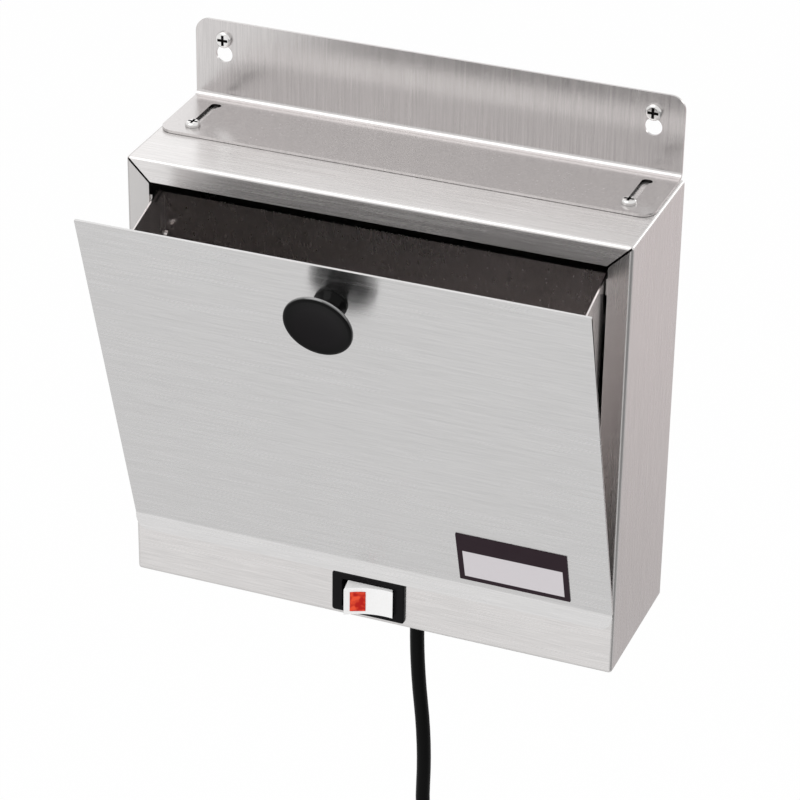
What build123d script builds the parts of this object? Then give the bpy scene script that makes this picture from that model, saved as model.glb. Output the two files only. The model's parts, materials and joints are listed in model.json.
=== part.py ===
from build123d import *
import math
import os

# Wall-mounted lotion warmer. Millimetres, +X right, +Y into the wall, +Z up.
# The origin is midway between the bracket's two keyholes, on the wall's face.

# Case, a folded and welded stainless box
case_width = 279.4
case_height = 254.0
case_depth = 87.0
case_sheet = 1.2
case_bend = 2.0
frame_flange = 12.7
mitre_gap = 1.2
past = 1.0
foot_height = 34.0
foot_return = 9.0
bottom_rim = 12.0
back_rim = 12.0
back_sheet = 1.0
cover_gap = 0.9

# Wall bracket with its keyholes and hooked slots
bracket_inset = 1.7
bracket_sheet = 1.5
bracket_above_keyhole = 19.1
bracket_reach = 52.0
bracket_bend = 3.0
bracket_top_radius = 8.0
bracket_front_radius = 8.0
keyhole_height = 27.4
keyhole_from_end = 16.7
keyhole_entry_radius = 4.8
keyhole_neck_radius = 2.3
keyhole_rise = 8.6
slot_from_end = 15.8
slot_from_front = 10.7
slot_length = 28.3
slot_radius = 2.2
slot_hook = 1.5

# Door, one sheet with a crease near its foot
door_inset = 0.5
door_sheet = 1.2
door_tilt = 16.6
crease_above_opening = 4.1
strip_height = 9.9
strip_corner = 8.0
strip_flare = 3.0
door_corner = 0.6

# Bin behind the door, measured from the door's inner face and its crease
bin_side_gap = 2.0
bin_back_room = 21.0
bin_top_room = 14.72
bin_sheet = 0.9
bin_floor_height = 8.0
bin_flange = 10.5
bin_lap = 9.0
bin_floor_lap = 8.0
bin_lap_gap = 1.0
bin_back_drop = 3.0
rivet_radius = 2.0
rivet_head_radius = 3.2
rivet_head = 0.9
rivet_tail_radius = 2.6
rivet_rows = 3

# Pivot of the bin
pivot_behind_strip = 8.0
pin_radius = 2.4
pin_groove_radius = 1.8
pin_head_radius = 5.0
pin_head = 1.6
bush_radius = 3.5
bush_flange_radius = 5.6
bush_flange = 1.0
ear_sheet = 1.5
ear_radius = 6.5
lobe_inset = 0.7
lobe_slope = 8.0
ear_back = 9.0
ear_foot = 9.5
ear_rivet_gap = 0.8
clip_radius = 4.6
clip_thickness = 0.6
clip_mouth_lip = 0.12

# Knob and label
knob_radius = 19.0
knob_height = 19.0
knob_neck_radius = 6.5
knob_base_radius = 9.0
knob_rim = 2.2
knob_edge = 1.1
knob_foot = 1.2
knob_dish = 1.2
knob_below_top = 23.7
knob_screw_head_radius = 4.0
washer_radius = 5.2
washer_thickness = 0.8
label_from_edge = 23.1
label_width = 62.4
label_bottom = 4.3
label_height = 35.1
label_thickness = 0.5
label_corner = 0.4

# Rocker switch in the lower front panel
bezel_width = 42.2
bezel_height = 24.5
bezel_thickness = 2.0
bezel_corner = 1.0
bezel_below_strip = 0.4
bezel_lip = 2.8
bezel_rim = 1.75
switch_body_depth = 22.0
switch_wall = 3.0
switch_end_wall = 1.9
switch_back_wall = 4.0
switch_catch = 0.9
switch_catch_depth = 4.0
switch_catch_width = 8.0
rocker_end_gap = 1.9
rocker_face_drop = 7.8
rocker_face_rise = 2.5
rocker_tilt = 14.5
rocker_pivot_depth = 4.0
rocker_back = 5.0
rocker_taper = 1.6
rocker_plunger = 11.5
rocker_plunger_width = 3.0
trunnion_radius = 1.5
trunnion_length = 1.4
lens_width = 8.5
lens_height = 12.0
lens_from_end = 3.2
lens_proud = 0.5
lens_depth = 1.5
terminal_spacing = 12.0
terminal_width = 6.3
terminal_sheet = 0.8
terminal_reach = 8.0
contact_sheet = 0.6
contact_end_gap = 1.3
contact_width = 5.0
contact_stand = 1.6
terminal_stand = 0.6

# Heater deck and what it carries
deck_sheet = 1.2
deck_flange = 12.0
mat_side_room = 25.0
mat_end_room = 5.0
mat_thickness = 2.0
mat_corner = 6.0
insulation = 5.0
back_insulation = 6.0
insulation_gap = 3.0
insulation_edge_gap = 1.0
insulation_front_gap = 6.0
insulation_back_gap = 5.8
thermostat_x = 60.0
thermostat_radius = 8.0
thermostat_height = 8.0
thermostat_lip = 1.0
thermostat_strap_width = 34.0
thermostat_strap_depth = 12.0
thermostat_strap_sheet = 0.8
thermostat_screw_spacing = 26.0
thermostat_pin_spacing = 8.0
thermostat_pin_length = 7.0
fuse_x = -45.0
fuse_radius = 2.0
fuse_length = 12.0
fuse_drop = 4.5
clip_sheet = 0.6
grommet_x = -85.0
grommet_bore = 2.8
grommet_radius = 4.4
grommet_flange_radius = 6.0
grommet_flange = 1.0

# Leaf springs behind the frame that touch the bin when it shuts
catch_above_bin = 2.42
catch_width = 9.0
catch_sheet = 0.5
catch_reach = 8.5

# Small screws
wall_screw_head_radius = 4.6
wall_screw_shank_radius = 2.0
wall_screw_length = 14.0
slot_screw_head_radius = 4.1
slot_screw_radius = 1.95
slot_screw_end = 1.5
screw_head = 2.4
small_screw_radius = 1.75
small_screw_head_radius = 3.2
small_screw_head = 2.0
back_screw_length = 6.0
back_screw_taper = 1.7
nut_radius = 4.0
nut_height = 3.2

# Mains cord, its strain relief, coil and plug
cord_radius = 4.1
cord_behind_front = 43.0
relief_length = 25.0
relief_top_radius = 7.5
relief_end_radius = 5.0
relief_collar_radius = 9.5
relief_neck_radius = 7.9
relief_collar = 2.6
relief_flange = 2.0
jacket_rise = 7.0
wire_radius = 1.1
wire_bend = 3.0
ring_radius = 57.0
ring_pitch = 8.8
ring_layer_step = 8.8
ring_reverse_inset = 1.2
ring_lead_in = 60.0
turns_in = 4
turns_out = 5
tie_width = 10.0
tie_thickness = 1.5
tie_gap = 0.6
tail_length = 20.0
plug_relief_length = 25.0
plug_relief_radius = 6.5
plug_width = 26.0
plug_depth = 26.0
plug_length = 36.0
plug_corner = 5.0
blade_spacing = 12.7
blade_width = 6.35
blade_thickness = 1.5
blade_length = 17.5
ground_pin_radius = 2.4
ground_pin_length = 20.5
ground_pin_offset = 11.9

# Clearances
slide_gap = 0.2
head_gap = 0.1
strip_gap = 0.3
shut_gap = 0.4
running_gap = 0.05
side_gap = 0.2
hole_gap = 0.1
rocker_gap = 0.25

# Places worked out from the sizes above
case_top = -keyhole_height
case_bottom = case_top - case_height
half_width = case_width / 2
inner_half = half_width - case_sheet
frame_half = half_width - frame_flange
frame_top = case_height - frame_flange
front_inner = case_sheet - case_depth
shell_back = -back_sheet - case_sheet
bracket_width = case_width - 2 * bracket_inset
bracket_rise = keyhole_height + bracket_above_keyhole
keyhole_spacing = bracket_width - 2 * keyhole_from_end
slot_spacing = bracket_width - 2 * slot_from_end
slot_front = bracket_reach - slot_from_front
slot_back = slot_front - slot_length
crease_height = foot_height + crease_above_opening
door_width = case_width - 2 * door_inset
door_length = case_height - crease_height
tilt = math.radians(door_tilt)
door_gap = bin_sheet + shut_gap
pivot_behind_door = pivot_behind_strip + door_gap - strip_gap
pivot_above_crease = (pivot_behind_door - pivot_behind_strip * math.cos(tilt)) / math.sin(tilt)
pivot_y = pivot_behind_strip - strip_gap - case_depth
pivot_height = crease_height + pivot_above_crease
shut_crease = pivot_height + pivot_behind_strip * math.sin(tilt) - pivot_above_crease * math.cos(tilt)
pivot_up_door = pivot_height - shut_crease
deck_bottom = foot_height
deck_top = deck_bottom + deck_sheet
bin_half = frame_half - bin_side_gap
bin_depth = case_depth - bin_back_room
bin_height = frame_top - shut_crease - bin_top_room
catch_height = shut_crease + bin_height + catch_above_bin
mat_width = 2 * (bin_half - mat_side_room)
mat_depth = bin_depth - 2 * mat_end_room
label_left = door_width / 2 - label_from_edge - label_width
bin_inner = bin_half - bin_sheet
ear_inner = bin_half + bush_flange + side_gap
ear_outer = ear_inner + ear_sheet
switch_height = crease_height - strip_height - bezel_below_strip - bezel_height / 2
switch_body_width = bezel_width - 2 * bezel_lip
switch_body_height = bezel_height - 2 * bezel_rim
switch_opening_width = switch_body_width - 2 * switch_wall
switch_opening_height = switch_body_height - 2 * switch_end_wall
rocker_width = switch_opening_width - 2 * rocker_end_gap
contact_length = switch_opening_width - 2 * contact_end_gap
bezel_front = -case_depth - bezel_thickness
rocker_y = bezel_front + rocker_pivot_depth
switch_back = switch_body_depth - case_depth
cover_bottom = case_sheet
cover_top = cover_bottom + case_sheet
cord_y = cord_behind_front - case_depth
relief_x = 12.2
terminal_height = switch_height
terminal_end = switch_back + terminal_reach


def level(height):
    """Z of a height above the case's bottom."""
    return case_bottom + height


def block(x0, x1, y0, y1, h0, h1):
    """A box between two X, two Y and two heights above the case's bottom."""
    centre = Pos((x0 + x1) / 2, (y0 + y1) / 2, level((h0 + h1) / 2))
    return centre * Box(abs(x1 - x0), abs(y1 - y0), abs(h1 - h0))


def rod_x(radius, x0, x1, y, h):
    return Pos((x0 + x1) / 2, y, level(h)) * Rot(0, 90, 0) * Cylinder(radius, abs(x1 - x0))


def rod_y(radius, x, y0, y1, h):
    return Pos(x, (y0 + y1) / 2, level(h)) * Rot(90, 0, 0) * Cylinder(radius, abs(y1 - y0))


def rod_z(radius, x, y, h0, h1):
    return Pos(x, y, level((h0 + h1) / 2)) * Cylinder(radius, abs(h1 - h0))


def side_profile(points, x0, x1):
    """A closed outline of (y, height) points, extruded from x0 to x1."""
    face = make_face(Polyline([(y, level(h)) for y, h in points], close=True))
    return extrude(Plane.YZ.offset(min(x0, x1)) * face, amount=abs(x1 - x0))


def pan_screw(head_radius, head_height, shank_radius, length):
    """A cross-recess screw, head up, its seat at the origin and its shank down."""
    head = Pos(0, 0, head_height / 2) * Cylinder(head_radius, head_height)
    head = fillet(head.edges().group_by(Axis.Z)[-1], head_height * 0.6)
    arm = head_radius * 1.3
    slit = head_radius * 0.34
    recess = Box(arm, slit, head_height) + Box(slit, arm, head_height)
    shank = Pos(0, 0, -length / 2) * Cylinder(shank_radius, length)
    return head - Pos(0, 0, head_height) * recess + shank


def countersunk_screw(grow):
    """A flush screw, its flat head up at the origin; grow makes its hole."""
    small = small_screw_radius + grow
    large = small_screw_head_radius + grow
    head = Pos(0, 0, -back_screw_taper / 2) * Cone(small, large, back_screw_taper)
    shank = Pos(0, 0, -back_screw_length / 2) * Cylinder(small, back_screw_length)
    return head + shank


def hex_nut(across_radius, height, bore):
    """A nut below the origin."""
    body = extrude(RegularPolygon(across_radius, 6), amount=-height)
    return body - Pos(0, 0, -height / 2) * Cylinder(bore, height * 2)


def wire(points, radius, bend):
    """A round wire along (x, y, height) points with one bend radius."""
    places = [(x, y, level(h)) for x, y, h in points]
    path = FilletPolyline(*places, radius=bend)
    return sweep(Plane(origin=path @ 0, z_dir=path % 0) * Circle(radius), path=path)


def both_sides(shape):
    return shape + mirror(shape, about=Plane.YZ)


def back_screw_places():
    """Centre x and height of each flush screw in the back panel."""
    x = half_width - case_sheet / 2 - back_rim / 2
    rows = [back_rim / 2 + case_sheet, case_height / 2, case_height - back_rim / 2 - case_sheet]
    return [(side * x, h) for side in (-1, 1) for h in rows]


def base_screw_places():
    """X and y of each screw in the bottom rim."""
    x = half_width - case_sheet / 2 - bottom_rim / 2
    return [(side * x, y) for side in (-1, 1) for y in (-case_depth * 0.8, -case_depth * 0.25)]


# Wall bracket and its screws

def make_wall_bracket():
    foot = case_top + slide_gap
    top = case_top + bracket_rise
    plate = [(0, foot), (0, top), (-bracket_sheet, top)]
    upper = foot + bracket_sheet
    flange = [(-bracket_sheet, upper), (-bracket_reach, upper), (-bracket_reach, foot)]
    face = make_face(Polyline(plate + flange, close=True))
    corner_in = face.vertices().sort_by_distance((-bracket_sheet, foot + bracket_sheet, 0))[0]
    face = fillet(corner_in, bracket_bend)
    corner_out = face.vertices().sort_by_distance((0, foot, 0))[0]
    face = fillet(corner_out, bracket_bend + bracket_sheet)
    body = extrude(Plane.YZ.offset(-bracket_width / 2) * face, amount=bracket_width)
    body = fillet(body.edges().filter_by(Axis.Y).group_by(Axis.Z)[-1], bracket_top_radius)
    body = fillet(body.edges().filter_by(Axis.Z).group_by(Axis.Y)[0], bracket_front_radius)
    for side in (-1, 1):
        x = side * keyhole_spacing / 2
        hole = Rot(90, 0, 0) * Cylinder(keyhole_entry_radius, bracket_sheet * 4)
        neck = Pos(0, 0, keyhole_rise) * Rot(90, 0, 0) * Cylinder(keyhole_neck_radius, bracket_sheet * 4)
        throat = Pos(0, 0, keyhole_rise / 2) * Box(keyhole_neck_radius * 2, bracket_sheet * 4, keyhole_rise)
        body -= Pos(x, 0, 0) * (hole + neck + throat)
    middle = (slot_front + slot_back) / 2
    for side in (-1, 1):
        x = side * slot_spacing / 2
        run = Box(slot_radius * 2, slot_front - slot_back, bracket_sheet * 4)
        ends = Pos(0, -(slot_front - slot_back) / 2, 0) * Cylinder(slot_radius, bracket_sheet * 4)
        ends += Pos(0, (slot_front - slot_back) / 2, 0) * Cylinder(slot_radius, bracket_sheet * 4)
        hook_end = (slot_hook, (slot_front - slot_back) / 2, 0)
        hook = Pos(slot_hook / 2, hook_end[1], 0) * Box(slot_hook, slot_radius * 2, bracket_sheet * 4)
        hook += Pos(*hook_end) * Cylinder(slot_radius, bracket_sheet * 4)
        body -= Pos(x, -middle, foot) * (run + ends + hook)
    return body


def make_wall_screws():
    length = wall_screw_length + bracket_sheet
    screw = pan_screw(wall_screw_head_radius, screw_head, wall_screw_shank_radius, length)
    placed = Pos(keyhole_spacing / 2, -bracket_sheet, keyhole_rise) * Rot(90, 0, 0) * screw
    return both_sides(placed)


def make_bracket_screws():
    grip = head_gap + bracket_sheet + slide_gap + case_sheet + nut_height + slot_screw_end
    screw = pan_screw(slot_screw_head_radius, screw_head, slot_screw_radius, grip)
    seat = case_top + slide_gap + bracket_sheet + head_gap
    return both_sides(Pos(slot_spacing / 2, -slot_front, seat) * screw)


def make_bracket_nuts():
    nut = hex_nut(nut_radius, nut_height, slot_screw_radius)
    return both_sides(Pos(slot_spacing / 2, -slot_front, case_top - case_sheet) * nut)


# Case

def make_case_shell():
    outer = block(-half_width, half_width, -case_depth, -back_sheet, 0, case_height)
    outer = fillet(outer.edges() - outer.edges().group_by(Axis.Y)[-1], case_bend)
    rear = shell_back
    inner = block(-inner_half, inner_half, front_inner, rear, case_sheet, case_height - case_sheet)
    inner = fillet(inner.edges() - inner.edges().group_by(Axis.Y)[-1], case_bend - case_sheet)
    shell = outer - inner
    shell -= block(-frame_half, frame_half, -case_depth - past, front_inner + past, foot_height, frame_top)
    rear_half = inner_half - back_rim
    rear_low = case_sheet + back_rim
    shell -= block(-rear_half, rear_half, rear - past, past, rear_low, case_height - rear_low)
    floor_half = inner_half - bottom_rim
    floor_front = front_inner + bottom_rim
    shell -= block(-floor_half, floor_half, floor_front, rear - bottom_rim, -past, case_sheet + past)
    return_low = foot_height - case_sheet
    shell += block(-frame_half, frame_half, front_inner, foot_return - case_depth, return_low, foot_height)
    seam_run = frame_flange - case_bend / 2
    seam_box = Box(seam_run * math.sqrt(2) + mitre_gap, case_sheet * 4, mitre_gap)
    seam = Rot(0, -45, 0) * Pos(-mitre_gap / 2, 0, 0) * seam_box
    middle_x = frame_half + seam_run / 2
    seam = Pos(middle_x, -case_depth, level(frame_top + seam_run / 2)) * seam
    shell -= both_sides(seam)
    cut_out = switch_body_width / 2 + side_gap
    rise = switch_body_height / 2 + side_gap
    low = switch_height - rise
    shell -= block(-cut_out, cut_out, -case_depth - past, front_inner + past, low, switch_height + rise)
    roof = case_height - case_sheet
    for side in (-1, 1):
        x = side * slot_spacing / 2
        shell -= rod_z(slot_screw_radius + hole_gap, x, -slot_front, roof - past, case_height + past)
    for x, h in back_screw_places():
        shell -= Pos(x, 0, level(h)) * Rot(-90, 0, 0) * countersunk_screw(hole_gap)
    for x, y in base_screw_places():
        shell -= rod_z(small_screw_radius + hole_gap, x, y, -past, case_sheet + past)
    return shell


def make_back_panel():
    edge = case_bend / 4
    panel = block(edge - half_width, half_width - edge, -back_sheet, 0, edge, case_height - edge)
    panel = fillet(panel.edges().filter_by(Axis.Y), case_bend)
    for x, h in back_screw_places():
        panel -= Pos(x, 0, level(h)) * Rot(-90, 0, 0) * countersunk_screw(hole_gap)
    return panel


def make_back_screws():
    screw = Rot(-90, 0, 0) * countersunk_screw(0)
    slot_depth = back_screw_taper * 0.7
    screw -= Box(small_screw_head_radius * 1.2, slot_depth, small_screw_head_radius * 0.22)
    screw -= Box(small_screw_head_radius * 0.22, slot_depth, small_screw_head_radius * 1.2)
    return [Pos(x, 0, level(h)) * screw for x, h in back_screw_places()]


def make_base_cover():
    half = inner_half - cover_gap
    rear = shell_back - cover_gap
    cover = block(-half, half, front_inner + cover_gap, rear, cover_bottom, cover_top)
    cover = fillet(cover.edges().filter_by(Axis.Z), case_bend)
    for x, y in base_screw_places():
        cover -= rod_z(small_screw_radius + hole_gap, x, y, 0, cover_top + past)
    cover -= rod_z(relief_neck_radius + hole_gap, relief_x, cord_y, 0, cover_top + past)
    cover -= rod_z(small_screw_radius + hole_gap, ground_x, ground_y, 0, cover_top + past)
    return cover


def make_base_screws():
    length = 2 * case_sheet + nut_height + slot_screw_end
    screw = Rot(180, 0, 0) * pan_screw(small_screw_head_radius, small_screw_head, small_screw_radius, length)
    return [Pos(x, y, level(0)) * screw for x, y in base_screw_places()]


def make_base_nuts():
    nut = Rot(180, 0, 0) * hex_nut(nut_radius, nut_height, small_screw_radius)
    return [Pos(x, y, level(cover_top)) * nut for x, y in base_screw_places()]


def make_catch_spring():
    leg_inner = bin_half + 3 * side_gap
    half = catch_width / 2
    low = catch_height - half
    high = catch_height + half
    base = block(leg_inner, inner_half - case_bend, front_inner, front_inner + catch_sheet, low, high)
    leg = block(leg_inner, leg_inner + catch_sheet, front_inner, front_inner + catch_reach, low, high)
    spring = base + leg
    edge = spring.edges().filter_by(Axis.Z).sort_by_distance((leg_inner, front_inner, level(catch_height)))[0]
    return fillet(edge, catch_sheet * 0.8)


# Heater deck and pivots

def make_heater_deck():
    rear = shell_back - cover_gap
    front = front_inner + cover_gap
    deck = block(-inner_half, inner_half, front, rear, deck_bottom, deck_top)
    flange = block(inner_half - deck_sheet, inner_half, front, rear, deck_bottom - deck_flange, deck_bottom)
    deck += both_sides(flange)
    deck -= rod_z(grommet_radius + hole_gap, grommet_x, lead_y, deck_bottom - past, deck_top + past)
    for x, y in pivot_rivet_places():
        deck -= both_sides(rod_z(rivet_radius, x, y, deck_bottom - past, deck_top + past))
    for side in (-1, 1):
        x = thermostat_x + side * thermostat_screw_spacing / 2
        deck -= rod_z(small_screw_radius, x, cord_y, deck_bottom - past, deck_top + past)
    return deck


def pivot_rivet_places():
    """X and y of the rivets in the right-hand pivot bracket's foot."""
    x = ear_outer + ear_foot / 2
    middle = (front_inner + cover_gap + pivot_y + ear_back) / 2
    apart = rivet_head_radius + ear_rivet_gap
    return [(x, middle - apart), (x, middle + apart)]


def make_pivot_bracket():
    front = front_inner + cover_gap
    back = pivot_y + ear_back
    ear = block(ear_inner, ear_outer, front, back, deck_top, pivot_height + ear_radius)
    ear = fillet(ear.edges().filter_by(Axis.X).group_by(Axis.Z)[-1], ear_radius * 0.8)
    foot = block(ear_inner, ear_outer + ear_foot, front, back, deck_top, deck_top + ear_sheet)
    bracket = ear + foot
    bracket -= rod_x(pin_radius, ear_inner - past, ear_outer + past, pivot_y, pivot_height)
    for x, y in pivot_rivet_places():
        bracket -= rod_z(rivet_radius, x, y, deck_top - past, deck_top + ear_sheet + past)
    return bracket


def make_pivot_rivets():
    rivets = []
    for x, y in pivot_rivet_places():
        low = deck_bottom
        high = deck_top + ear_sheet
        rivet = rod_z(rivet_radius, x, y, low, high)
        rivet += rod_z(rivet_head_radius, x, y, high, high + rivet_head)
        rivet += rod_z(rivet_head_radius, x, y, low - rivet_head, low)
        rivets += [rivet, mirror(rivet, about=Plane.YZ)]
    return rivets


def make_pivot_pins():
    inner = bin_inner - side_gap
    outer = ear_outer + clip_thickness * 3
    pin = rod_x(pin_radius, inner, outer, pivot_y, pivot_height)
    pin += rod_x(pin_head_radius, inner - pin_head, inner, pivot_y, pivot_height)
    groove = ear_outer + clip_thickness / 2
    ring = rod_x(pin_radius + past, groove, groove + clip_thickness, pivot_y, pivot_height)
    ring -= rod_x(pin_groove_radius, groove, groove + clip_thickness, pivot_y, pivot_height)
    return both_sides(pin - ring)


def make_pivot_clips():
    groove = ear_outer + clip_thickness / 2
    clip = rod_x(clip_radius, groove, groove + clip_thickness, pivot_y, pivot_height)
    clip -= rod_x(pin_groove_radius, groove - past, groove + clip_thickness + past, pivot_y, pivot_height)
    mouth = pin_groove_radius - clip_mouth_lip
    far_side = pivot_y + clip_radius * 2
    clip -= block(groove - past, groove + clip_thickness + past, pivot_y, far_side,
                  pivot_height - mouth, pivot_height + mouth)
    return both_sides(clip)


def make_heater_mat():
    middle = (front_inner - back_sheet) / 2
    mat = Pos(0, middle, level(deck_top + mat_thickness / 2)) * Box(mat_width, mat_depth, mat_thickness)
    return fillet(mat.edges().filter_by(Axis.Z), mat_corner)


def make_side_insulation():
    low = pivot_height + ear_radius + insulation_gap
    high = case_height - case_sheet - insulation - insulation_edge_gap
    front = front_inner + catch_reach + insulation_gap / 2
    return block(inner_half - insulation, inner_half, front, shell_back - insulation_back_gap, low, high)


def make_back_insulation():
    half = inner_half - back_rim - insulation_edge_gap * 2
    low = deck_top + mat_thickness
    high = case_height - case_sheet - back_rim - insulation_gap
    return block(-half, half, -back_sheet - back_insulation, -back_sheet, low, high)


def make_top_insulation():
    half = slot_spacing / 2 - nut_radius * 2
    top = case_height - case_sheet
    front = front_inner + insulation_front_gap
    return block(-half, half, front, shell_back - insulation_back_gap, top - insulation, top)


# Thermostat, fuse and heater leads under the deck

def make_thermostat_body():
    return rod_z(thermostat_radius, thermostat_x, cord_y, deck_bottom - thermostat_height, deck_bottom)


def make_thermostat_strap():
    half = thermostat_strap_width / 2
    deep = thermostat_strap_depth / 2
    low = deck_bottom - thermostat_strap_sheet
    strap = block(thermostat_x - half, thermostat_x + half, cord_y - deep, cord_y + deep, low, deck_bottom)
    strap = fillet(strap.edges().filter_by(Axis.Z), deep * 0.6)
    strap += rod_z(thermostat_radius + thermostat_lip, thermostat_x, cord_y, low, deck_bottom)
    strap -= rod_z(thermostat_radius, thermostat_x, cord_y, low - past, deck_bottom + past)
    for side in (-1, 1):
        x = thermostat_x + side * thermostat_screw_spacing / 2
        strap -= rod_z(small_screw_radius, x, cord_y, low - past, deck_bottom + past)
    return strap


def make_thermostat_screws():
    length = thermostat_strap_sheet + deck_sheet
    screw = pan_screw(small_screw_head_radius, small_screw_head, small_screw_radius, length)
    seat = level(deck_bottom - thermostat_strap_sheet)
    xs = [thermostat_x + side * thermostat_screw_spacing / 2 for side in (-1, 1)]
    return [Pos(x, cord_y, seat) * Rot(180, 0, 0) * screw for x in xs]


def make_thermostat_terminals():
    top = deck_bottom - thermostat_height
    low = top - thermostat_pin_length
    half = terminal_sheet / 2
    wide = terminal_width / 2
    xs = [thermostat_x + side * thermostat_pin_spacing / 2 for side in (-1, 1)]
    return [block(x - half, x + half, cord_y - wide, cord_y + wide, low, top) for x in xs]


def make_thermal_fuse():
    half = fuse_length / 2
    return rod_x(fuse_radius, fuse_x - half, fuse_x + half, fuse_y, deck_bottom - fuse_drop)


def make_fuse_clip():
    half = fuse_length / 4
    height = deck_bottom - fuse_drop
    outer = fuse_radius + clip_sheet
    clip = rod_x(outer, fuse_x - half, fuse_x + half, fuse_y, height)
    clip += block(fuse_x - half, fuse_x + half, fuse_y - outer, fuse_y + outer, height, deck_bottom)
    clip -= rod_x(fuse_radius, fuse_x - half - past, fuse_x + half + past, fuse_y, height)
    return clip


def make_deck_grommet():
    grommet = rod_z(grommet_radius, grommet_x, lead_y, deck_bottom, deck_top)
    flange = deck_bottom - grommet_flange
    grommet += rod_z(grommet_flange_radius, grommet_x, lead_y, flange, deck_bottom)
    return grommet - rod_z(grommet_bore, grommet_x, lead_y, flange - past, deck_top + past)


# Wiring between the cord, switch, thermostat, fuse and heater mat
ground_x = 70.0
ground_y = -28.0
ground_barrel = 10.0
splice_x = -60.0
splice_length = 12.0
splice_radius = 3.6
wire_circle = 2.3
wire_side = 2.0
wire_pitch = 2.5
wire_rise = 5.0
wire_reach = 7.0
live_rise = 0.5
link_drop = 14.0
ground_run = 20.0
ground_lift = 0.6
ground_eye = 1.0
fuse_before_cord = 3.0
wire_row_height = 22.0
wire_low_height = 8.0
wire_link_height = 12.0
wire_link_y = -34.0
jacket_top = cover_top + relief_collar + jacket_rise
fuse_y = cord_y - fuse_before_cord
neutral_y = cord_y + wire_circle / 2
lamp_y = neutral_y - wire_pitch
splice_y = (neutral_y + lamp_y) / 2
lead_y = (splice_y + fuse_y) / 2


def make_live_wire():
    y = cord_y - wire_circle
    high = terminal_height + live_rise
    points = [(relief_x, y, jacket_top), (relief_x, y, high), (relief_x, terminal_end, high)]
    return wire(points, wire_radius, wire_bend)


def make_switched_wire():
    y = terminal_end + wire_reach
    x = thermostat_x - thermostat_pin_spacing / 2
    end = deck_bottom - thermostat_height - thermostat_pin_length
    points = [(0, terminal_end, terminal_height), (0, y, terminal_height), (0, y, wire_low_height)]
    points += [(x, y, wire_low_height), (x, cord_y, wire_low_height), (x, cord_y, end)]
    return wire(points, wire_radius, wire_bend * 0.9)


def make_link_wire():
    x = thermostat_x + thermostat_pin_spacing / 2
    top = deck_bottom - thermostat_height - thermostat_pin_length
    fuse_end = fuse_x + fuse_length / 2
    far = fuse_end + link_drop
    fuse_height = deck_bottom - fuse_drop
    points = [(x, cord_y, top), (x, cord_y, wire_link_height), (x, wire_link_y, wire_link_height)]
    points += [(far, wire_link_y, wire_link_height), (far, wire_link_y, fuse_height)]
    points += [(far, fuse_y, fuse_height), (fuse_end, fuse_y, fuse_height)]
    return wire(points, wire_radius, wire_bend)


def make_neutral_wire():
    x = relief_x - wire_side
    points = [(x, neutral_y, jacket_top), (x, neutral_y, wire_row_height)]
    points.append((splice_x, neutral_y, wire_row_height))
    lamp_x = -terminal_spacing
    lamp = [(splice_x, lamp_y, wire_row_height), (lamp_x, lamp_y, wire_row_height)]
    lamp += [(lamp_x, lamp_y, terminal_height), (lamp_x, terminal_end, terminal_height)]
    return [wire(points, wire_radius, wire_bend), wire(lamp, wire_radius, wire_bend * 0.8)]


def make_ground_wire():
    x = relief_x + wire_side
    start = ground_x - ground_barrel
    turn = start - ground_run
    high = jacket_top + wire_rise
    low = cover_top + wire_radius + ground_lift
    points = [(x, neutral_y, jacket_top), (x, neutral_y, high), (x, ground_y, high), (turn, ground_y, high)]
    points += [(turn, ground_y, low), (start, ground_y, low)]
    return wire(points, wire_radius, wire_bend)


def make_ground_ring():
    low = cover_top + wire_radius + ground_lift
    top = cover_top + terminal_sheet
    ring = rod_z(small_screw_head_radius + ground_eye, ground_x, ground_y, cover_top, top)
    barrel_end = ground_x - small_screw_head_radius - ground_eye
    barrel = rod_x(wire_radius + ground_lift, ground_x - ground_barrel, barrel_end, ground_y, low)
    half = terminal_width / 3
    neck = block(ground_x - ground_barrel / 2, ground_x, ground_y - half, ground_y + half, cover_top, top)
    ring = ring + neck + barrel
    return ring - rod_z(small_screw_radius, ground_x, ground_y, cover_top - past, top + past)


def make_ground_screw():
    length = terminal_sheet + case_sheet
    screw = pan_screw(small_screw_head_radius, small_screw_head, small_screw_radius, length)
    return Pos(ground_x, ground_y, level(cover_top + terminal_sheet)) * screw


def make_wire_splices():
    return rod_x(splice_radius, splice_x - splice_length, splice_x, splice_y, wire_row_height)


def make_mat_leads():
    end = splice_x - splice_length
    fuse_height = deck_bottom - fuse_drop
    first = [(grommet_x, splice_y, deck_top), (grommet_x, splice_y, wire_row_height)]
    first += [(end, splice_y, wire_row_height)]
    second = [(grommet_x, fuse_y, deck_top), (grommet_x, fuse_y, fuse_height)]
    second += [(fuse_x - fuse_length / 2, fuse_y, fuse_height)]
    return [wire(first, wire_radius, wire_bend), wire(second, wire_radius, wire_bend)]


# Switch

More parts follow.
